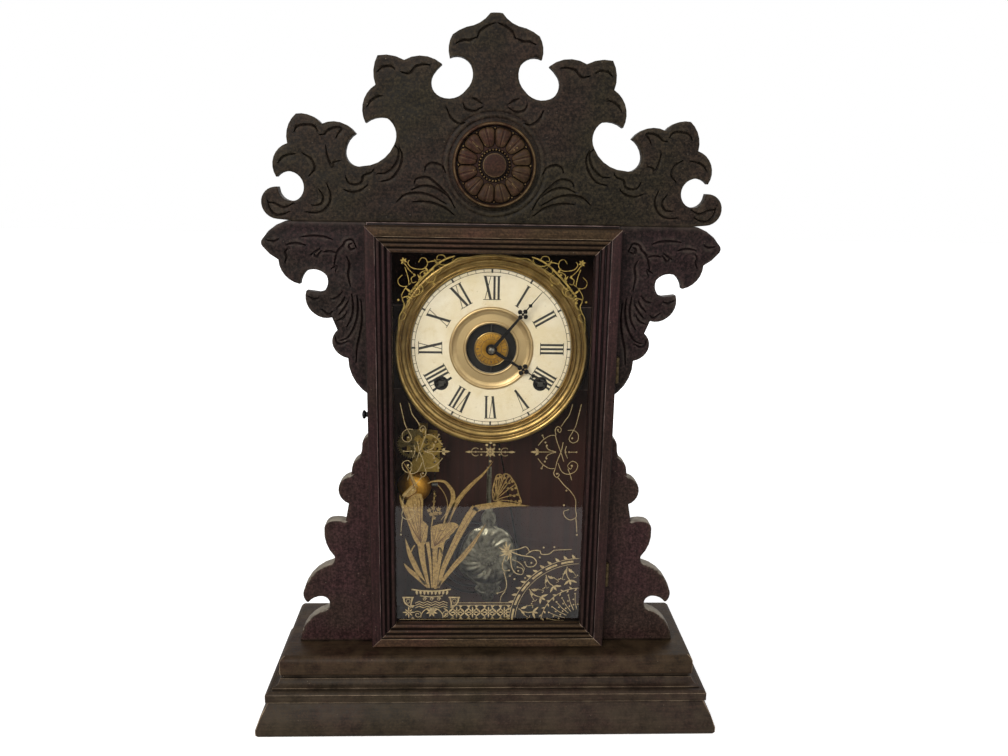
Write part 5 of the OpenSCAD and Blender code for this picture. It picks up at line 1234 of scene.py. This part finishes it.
def paint_plant():
    """Leaves and flowers that rise from the urn, and the butterfly on the folded leaf."""
    pen = Stencil("glass_leaves", gilt, 2)
    for points, width, taper in (
            ([(-45, 33), (-42, 56), (-36.5, 88), (-30, 106), (-22, 119), (-13, 129), (-5, 137),
              (3, 148)], 6.6, (0.3, 0.0)),
            ([(-42.4, 34), (-38, 52.5), (-26.5, 79.8), (-18, 97), (-11.4, 107)], 6.6, (0.3, 1.0)),
            ([(-43.5, 34), (-30.3, 52.5), (-21.6, 63.2), (-12.9, 75.1), (-2.7, 92.8)], 8.0,
             (0.2, 0.0)),
            ([(-37, 88), (-33.6, 102.4), (-30.7, 111.4), (-30.5, 119.3), (-32.9, 124.3),
              (-37.6, 129.3), (-45.5, 129.8), (-51.2, 127.8)], 3.2, (1.6, 0.3)),
            ([(-53.5, 36.9), (-61.1, 52.5), (-66.5, 65.6), (-70.1, 79.7)], 7.4, (0.25, 0.0)),
            ([(-51.3, 34.4), (-60, 44), (-66.6, 50.1), (-71.5, 56.7)], 6.8, (0.25, 0.0)),
            ([(-57.1, 74), (-55, 56.1), (-50.3, 34)], 4.6, (1.2, 0.35)),
            ([(-51.5, 76), (-49.4, 58.5), (-47.9, 34)], 2.4, (1.2, 0.5)),
            ([(-45.1, 72), (-45.6, 52.5), (-46.4, 34)], 3.6, (1.2, 0.4)),
            ([(-62, 73), (-64, 70), (-65.5, 66)], 1.1, (1.0, 0.8)),
            ([(-41, 71), (-39.6, 67), (-38.8, 63)], 1.2, (1.0, 0.4))):
        pen.line(points, width, taper)
    pen.shape([(-14.4, 105.2), (-12.1, 108.6), (-6.7, 109.8), (7.3, 112), (18.2, 110.9),
               (26, 109.6), (33.4, 108.2), (18.3, 107.9), (7.4, 107), (-6.7, 104.6), (-9.9, 102.8)])
    pen.done()
    pen = Stencil("glass_flowers", gilt, 1)
    pen.shape([(-72.1, 147.8), (-67.4, 139), (-64.6, 131.5), (-63, 127), (-58.6, 123.4),
               (-60.4, 127.6), (-62.6, 132.6), (-66.3, 139.4)])
    pen.shape([(-71.8, 118.3), (-66, 124.6), (-63.4, 126.6), (-60.2, 123.4), (-61.6, 119.4),
               (-67.6, 115.8), (-72.4, 116.6)])
    pen.shape([(-74.4, 118), (-74, 112), (-72.8, 107.4), (-70.6, 101), (-68.7, 96.4), (-66.3, 88.6),
               (-64, 81), (-61.6, 75.6), (-59, 72.4), (-55.8, 72.2), (-53.4, 74.2), (-51.8, 80),
               (-50.8, 90.2), (-53, 93), (-55.5, 95), (-55.3, 104), (-54.9, 113.6), (-56.4, 118.6),
               (-60, 119), (-64.4, 116.6), (-67.8, 113.4), (-69.7, 108.4), (-72, 112)])
    pen.shape([(-48.9, 89.3), (-45.5, 90.8), (-41, 92.3), (-37.6, 92.2), (-33, 93.6), (-29.1, 93.3),
               (-26, 91.6), (-25.6, 89.6), (-28, 87.4), (-29.6, 84.6), (-32.4, 82), (-33.4, 79.4),
               (-36.4, 77.3), (-38, 74.4), (-41.3, 71.5), (-45.5, 69.2), (-48.4, 70.4),
               (-48.6, 79.6)])
    for centre, r in (((-50, 104), 2.2), ((-46.6, 106.4), 2.2), ((-42.2, 105), 2.4),
                      ((-48.4, 100.6), 2.0), ((-44.6, 101.6), 2.4), ((-41, 101.8), 1.8),
                      ((-46, 97.4), 1.8), ((-46, 112), 1.5), ((-45.2, 117), 1.3),
                      ((-45.6, 120.6), 1.0)):
        pen.star(centre, r, 5, 20, 1.4, 6)
    pen.line([(-45.6, 121), (-46.2, 108), (-47, 98), (-48.4, 88)], 0.9)
    # butterfly: rim, ribs and rows of spots
    rim = [(3, 113.4), (2.3, 121.7), (3.8, 129.7), (5.3, 134.7), (8, 136), (10.2, 134.9),
           (12.3, 136.4), (15.6, 135.5), (17.8, 132.6), (21.1, 127.5), (24, 118.3), (25.8, 110.6),
           (15.5, 110.4), (4.1, 113.1)]
    pen.line(rim + [rim[0]], 0.9)
    root = np.array(WING_ROOT)
    for tip in rim[1:12]:
        pen.line([root, (root + tip) / 2 + RIB_BEND, tip], 0.8, (0.6, 1.0))
    pen.dots([(15, 134), (18.4, 129.8), (21.3, 124.1), (23, 118.3), (24.6, 112.6), (12.2, 132.6),
              (15.8, 128.6), (18.4, 122.9), (20.2, 117.2), (21.6, 112), (9, 133.4), (12.8, 128.8),
              (15, 123.6), (17, 117.6), (17.8, 112.6), (6.4, 132.4)], 1.15)
    pen.line([(-42.8, 126.5), (-37.6, 119.2), (-35, 110.8), (-36, 102.4), (-40.2, 95.6)], 0.6)
    pen.done()
    veins = Stencil("glass_veins", umber, 0)
    for tip in ((-27, 90.6), (-30, 86), (-33, 81.6), (-37, 77), (-34, 91.8), (-39, 91),
                (-43.5, 89.6), (-47, 87)):
        veins.line([(-45.6, 72), ((tip[0] - 47) / 2, (tip[1] + 72) / 2), tip], 0.55, (1.0, 0.5))
    for tip in ((-71.5, 106), (-68.4, 110), (-64, 114.5), (-60, 117.5), (-57, 112), (-56.6, 100),
                (-52.4, 90), (-67.4, 95)):
        veins.line([(-57, 75), ((tip[0] - 58) / 2, (tip[1] + 75) / 2), tip], 0.55, (1.0, 0.5))
    for line in ([(-60, 121.4), (-62, 118.6), (-68.6, 114.6)],
                 [(-58.4, 115), (-57.2, 112), (-57, 108)], [(-38, 86), (-40, 86), (-42, 85.6)],
                 [(-66.8, 137), (-63.8, 129), (-62, 124)]):
        veins.line(line, 0.75)
    for line in ([(-38.6, 54), (-26, 80.6), (-13.4, 104.2)], [(-36, 90), (-29, 106.5), (-14, 128)],
                 [(-30, 54), (-17, 69.6), (-8, 83.6)]):
        veins.line(line, 0.35)
    veins.done()


def paint_border():
    """Urn, band along the foot and the quarter fan in the corner."""
    foot = 4.6
    pen = Stencil("glass_urn", pale_gilt, 0)
    pen.line([(-65, 32.6), (-57, 31.4), (-48, 31), (-40, 31.4), (-32, 32.6)], 1.2)
    for k in range(9):
        pen.leaf((-61 + 3.3 * k, 31.5), (-60.4 + 3.1 * k, 27.4), 2.0, 0, 6)
    pen.line([(-58, 26.6), (-48, 25.6), (-38.6, 26.6)], 0.7)
    for x in (-54, -48, -42):
        pen.line(spiral((x, 23.6), 1.8, 0.5, 0, 1.4, 14), 0.5, bent=False)
    for row in range(3):
        pen.line([(-62 + 3.4 * k, 15.4 + 2.2 * row + (1.6 if k % 2 else 0)) for k in range(9)], 0.7,
                 bent=False)
    pen.star((-48, 12), 5.4, 8, 22, 1.9)
    pen.line([around((-48, 6), 9.5, a) for a in range(0, 181, 20)], 0.7)
    for side in (-1, 1):
        at = -48.5 + side * 19.6
        pen.line([(at - 4.8, 25), (at + 4.8, 25)], 1.3, bent=False)
        pen.line([(at - 3.6, 24.4), (at - 2.6, 20), (at - side * 2.8, 15.4)], 1.2)
        pen.line([(at + 3.6, 24.4), (at + 2.6, 20), (at - side * 2.0, 15.0)], 1.2)
        pen.line([(at - 1.6, 22.6), (at, 23.4), (at + 1.6, 22.6), (at + 0.8, 20), (at - 0.8, 20),
                  (at - 1.6, 22.6)], 0.4)
    left, right, band = -75.5, 18.0, 13.2
    for z in (foot, foot + band, foot + band + 2.2):
        pen.line([(left if z < foot + 1 else -30.0, z), (right, z)], 0.5, bent=False)
    pitch = 6.8
    for k in range(13):
        c = (right - pitch * (k + 0.6), foot + band / 2)
        if -62 < c[0] < -34:
            continue
        if k % 2:
            pen.star(c, 6.4, 4, 45, 1.7, 6)
        else:
            for a in range(8):
                pen.leaf(around(c, 0.9, 45 * a), around(c, 4.4 if a % 2 else 5.4, 45 * a), 1.3, 0,
                         6)
            pen.dots([c], 0.8)
        for z, s in ((foot, 1), (foot + band, -1)):
            pen.shape([(c[0] + pitch / 2 - 2, z), (c[0] + pitch / 2, z + s * 2.6),
                       (c[0] + pitch / 2 + 2, z)])
    for side in (-1, 1):
        pen.line(spiral((-48 + side * 12, foot + 4.4), 3.6, 0.8, 90 - side * 60, side * 1.4, 20),
                 0.6, bent=False)
    # fan: two rings, gold dashes between, thorns outside, sprays inside
    hub = (77.5, foot - 3)
    for r, w in ((59.4, 0.5), (54.6, 0.4), (32, 0.7)):
        pen.line([around(hub, r, a) for a in range(91, 178, 3)], w)
    for k in range(6):
        a = 96 + 14.2 * k
        pen.line([around(hub, 57, a + t) for t in (0, 3.5, 7, 10.5)], 1.7)
    for k in range(13):
        a = 94 + 6.6 * k
        pen.leaf(around(hub, 59.4, a), around(hub, 63.4, a + 2.4), 2.2, 0.1, 6)
        pen.leaf(around(hub, 32, a), around(hub, 34.6 if k % 2 else 29.6, a + 4), 1.4, 0.1, 6)
    for a in (102, 123, 144, 166):
        stem = [around(hub, 53, a), around(hub, 46, a + 2), around(hub, 40, a)]
        pen.line(stem, 0.7)
        for t in (-9, 0, 9):
            pen.leaf(around(hub, 40.6, a), around(hub, 35.4 + abs(t) * 0.2, a + t), 1.9, 0, 6)
        for t in (-1, 1):
            pen.leaf(around(hub, 51.5, a + t), around(hub, 47, a + 6.5 * t), 2.0, 0.2 * t, 8)
            pen.line([around(hub, 50, a + 3 * t), around(hub, 43, a + 8 * t),
                      around(hub, 42, a + 5 * t)], 0.4)
            pen.dots([around(hub, 44, a + 9.5 * t)], 0.6)
    for k in range(7):
        a = 97 + 12.6 * k
        pen.line([around(hub, 12, a), around(hub, 20, a + 1.5), around(hub, 26, a)], 0.5)
        pen.dots([around(hub, 27, a), around(hub, 22, a + 5), around(hub, 17, a - 5)], 0.75)
    pen.done()


def paint_spray():
    """Open scrolls above the fan, and the cross of arrows under the dial."""
    pen = Stencil("glass_spray", pale_gilt, 0)
    for points, width in (
            ([(16.8, 68), (26.9, 63.9), (36.8, 62.1), (40.3, 57.3), (37.6, 53.7), (32.6, 53.7),
              (30.4, 57.6)], 0.9),
            ([(16.8, 68), (25.6, 69.8), (31.1, 71.6), (34, 66.9), (31.3, 64.5)], 0.8),
            ([(31.3, 64.5), (36.7, 68.1), (42.7, 68), (44.4, 65), (50.5, 65.1), (54.3, 68.1),
              (57, 68.7), (69.7, 69.3)], 0.8),
            ([(18, 64.5), (19.3, 53.7), (22.8, 47.7), (28.4, 46.5), (28.8, 51.3), (24.3, 53.1)],
             0.8),
            ([(15, 66), (11.6, 56.1), (12.8, 50.1), (17.2, 50.1)], 0.7),
            ([(12.8, 48.9), (15.2, 39.2), (14.2, 31.9), (7.6, 28.9)], 0.7),
            ([(14.2, 30.7), (11, 25.9), (10, 19.7)], 0.6),
            ([(20, 60), (26, 57), (30, 52), (29, 48)], 0.6)):
        pen.line(points, width, (1.0, 0.5))
    pen.dots([(30.4, 57.6), (24.3, 53.1), (17.2, 50.1), (7.6, 28.9), (43, 62), (46, 71), (55, 71.4),
              (36, 57), (25, 49.6), (22, 42), (18, 45), (31, 43)], 0.8)
    for k in range(9):
        pen.leaf((16.4, 68), around((16.4, 68), 9.5 if k % 2 else 7, 75 + 27 * k), 1.6, 0.1, 6)
    mid = 155.2
    for side in (-1, 1):
        pen.line([(side * 2, mid), (side * 9, mid), (side * 17, mid)], 0.6)
        pen.leaf((side * 14.5, mid), (side * 20.5, mid), 1.8)
        pen.line([around((side * 12, mid), 3.4, a) for a in range(50, 311, 26)], 0.5)
        pen.dots([(side * 12, mid), (side * 7.4, mid + 2.4), (side * 7.4, mid - 2.4)], 0.8)
    for k in range(8):
        pen.leaf(around((0, mid), 1.2, 45 * k), around((0, mid), 5.4 if k % 2 else 4.4, 45 * k),
                 2.0, 0, 6)
    pen.dots([(0, mid), (0, mid + 8), (-3, mid + 6), (3, mid + 6), (0, mid - 8)], 1.1)
    pen.done()


def make_glass():
    paint(glass, "door_glass")
    for side, word in SIDES:
        paint_corner(side, "glass_corner_" + word)
        paint_side(side, "glass_side_" + word)
    paint_plant()
    paint_border()
    paint_spray()


# Pendulum and works

BOB_PLATE_Y = 10.55  # front of the bob's back plate
BOB_ROUND = (106.0, 158.0)  # foot and top of its round part


def make_bob():
    """Pressed bob: swirled lobes round a beaded middle, over the plain back of the CAD bob."""
    lo, hi = box_mm("pendulum_bob")
    rim = outline_of("pendulum_bob", BOB_PLATE_Y)
    centre = np.array([0, sum(BOB_ROUND) / 2])
    round_r = (hi[0] - lo[0]) / 2
    swell = BOB_PLATE_Y - lo[1]

    def depth_of(p, gap):
        d = p - centre
        r = np.linalg.norm(d, axis=1)
        a = np.arctan2(d[:, 1], d[:, 0])
        dome = (swell - 1.3) * np.sqrt(np.clip(1 - (r / round_r) ** 2, 0, 1))
        lobes = 1.1 * np.abs(np.sin(3 * a + 0.16 * r)) * fade(r - 7, 5) * fade(round_r - r, 5)
        folds = 0.3 * np.sin(21 * a + 0.5 * r) * fade(r - 10, 4) * fade(round_r - r, 3)
        beads = 0.8 * np.abs(np.cos(9 * a)) * np.exp(-(((r - 7.2) / 1.0) ** 2))
        middle = 0.8 * np.abs(np.cos(3 * a)) * np.clip(1 - (r / 6) ** 2, 0, 1)
        border = 0.6 * np.exp(-(((gap - 1.8) / 0.7) ** 2))
        tail = 0.5 * np.cos(d[:, 0] * 1.1) * np.exp(-(gap - 5) ** 2 / 9) * (r > round_r)
        return swell - np.clip(dome + lobes + folds + beads + middle + border + tail + 0.2, 0.2,
                               swell)

    front = relief_board("bob_pressed", rim, lo[1], BOB_PLATE_Y + 1.0, depth_of, "pendulum", silver,
                         step=0.8, edge=0.7, deepest=swell)
    bm = welded("pendulum_bob")
    cut = bmesh.ops.bisect_plane(bm, geom=bm.verts[:] + bm.edges[:] + bm.faces[:],
                                 plane_co=(0, (BOB_PLATE_Y + 0.9) * MM, 0), plane_no=(0, -1, 0),
                                 clear_outer=True)
    bmesh.ops.holes_fill(bm,
                         edges=[e for e in cut["geom_cut"] if isinstance(e, bmesh.types.BMEdge)],
                         sides=0)
    back = finish_piece("bob_back", mesh_of(bm, "bob_back"), "pendulum", silver, 30)
    for piece in (front, back):
        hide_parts("pendulum_bob")


def make_works():
    paint(movement_brass, "movement_back_plate", "time_great_wheel", "time_second_wheel",
          "centre_wheel", "time_third_wheel", "time_fourth_wheel", "escape_wheel",
          "strike_great_wheel", "strike_second_wheel", "strike_third_wheel", "strike_fly",
          "hour_wheel", "minute_wheel")
    paint(alarm_brass, "alarm_frame", "alarm_escape_wheel")
    paint(alarm_bronze, "alarm_great_wheel")
    paint(bell_brass, "alarm_bell")
    paint(steel, "time_click", "strike_click")
    paint(dark_steel, "verge", "alarm_hammer", "time_winding_arbor", "strike_winding_arbor",
          "pendulum_rod")
    paint(blued, "mainsprings", "strike_hammer")
    paint(gong_blue, "gong_coil")
    paint(iron, "gong_base")


# Floor


# Metres: half the floor's side, the gap under the object, and the place along Y where the
# floor that the glass reflects turns dark
FLOOR_SIZE = 6.0
FLOOR_GAP = 0.0001
FLOOR_LIT_TO = -0.485
FAR_FLOOR = (0.12, 0.11, 0.1, 1)
FLOOR_TONES = [(0.3, (0.86, 0.86, 0.86, 1)), (0.7, (0.88, 0.88, 0.88, 1))]


def make_floor():
    """Pale floor, white to the camera but for the soft shadow; its near part shows in the glass."""
    bm = bmesh.new()
    bmesh.ops.create_grid(bm, x_segments=24, y_segments=24, size=FLOOR_SIZE)
    mesh = mesh_of(bm, "floor")
    floor = bpy.data.objects.new("floor", mesh)
    floor.location.z = cad_box[0].z - FLOOR_GAP
    s = Shader("floor", 0.9, specular=0.1)
    at = s.add("TexCoord").outputs["Object"]
    s.feed("Base Color", s.ramp(s.noise(s.millimetres(), 400, 2), FLOOR_TONES))
    away = s.add("VectorMath", {0: at}, operation="LENGTH").outputs["Value"]
    strength = s.ramp(s.maths("MULTIPLY", away, 0.5), [(0.2, 0.5), (0.6, 1.0)])
    glow = s.add("Emission", {"Color": (1, 1, 1, 1), "Strength": strength})
    both = s.add("AddShader", {0: s.bsdf.outputs[0], 1: glow.outputs[0]})
    dim = s.add("BsdfDiffuse", {"Color": FAR_FLOOR})
    far = s.maths("LESS_THAN", s.add("SeparateXYZ", {0: at}).outputs["Y"], FLOOR_LIT_TO)
    path = s.add("LightPath")
    hide = s.maths("MULTIPLY", far, path.outputs["Is Glossy Ray"])
    plain = s.add("MixShader", {0: hide, 1: s.bsdf.outputs[0], 2: dim.outputs[0]})
    mix = s.add("MixShader",
                {0: path.outputs["Is Camera Ray"], 1: plain.outputs[0], 2: both.outputs[0]})
    s.nt.links.new(mix.outputs[0], s.nt.nodes["Material Output"].inputs[0])
    mesh.materials.append(s.mat)
    link(floor)


make_camera()
make_light()
make_floor()
make_boards()
make_crest()
make_ears()
make_rosette()
make_dial()
make_alarm_disc()
make_hands()
make_glass()
make_bob()
make_works()

bpy.context.scene.view_settings.view_transform = "Standard"
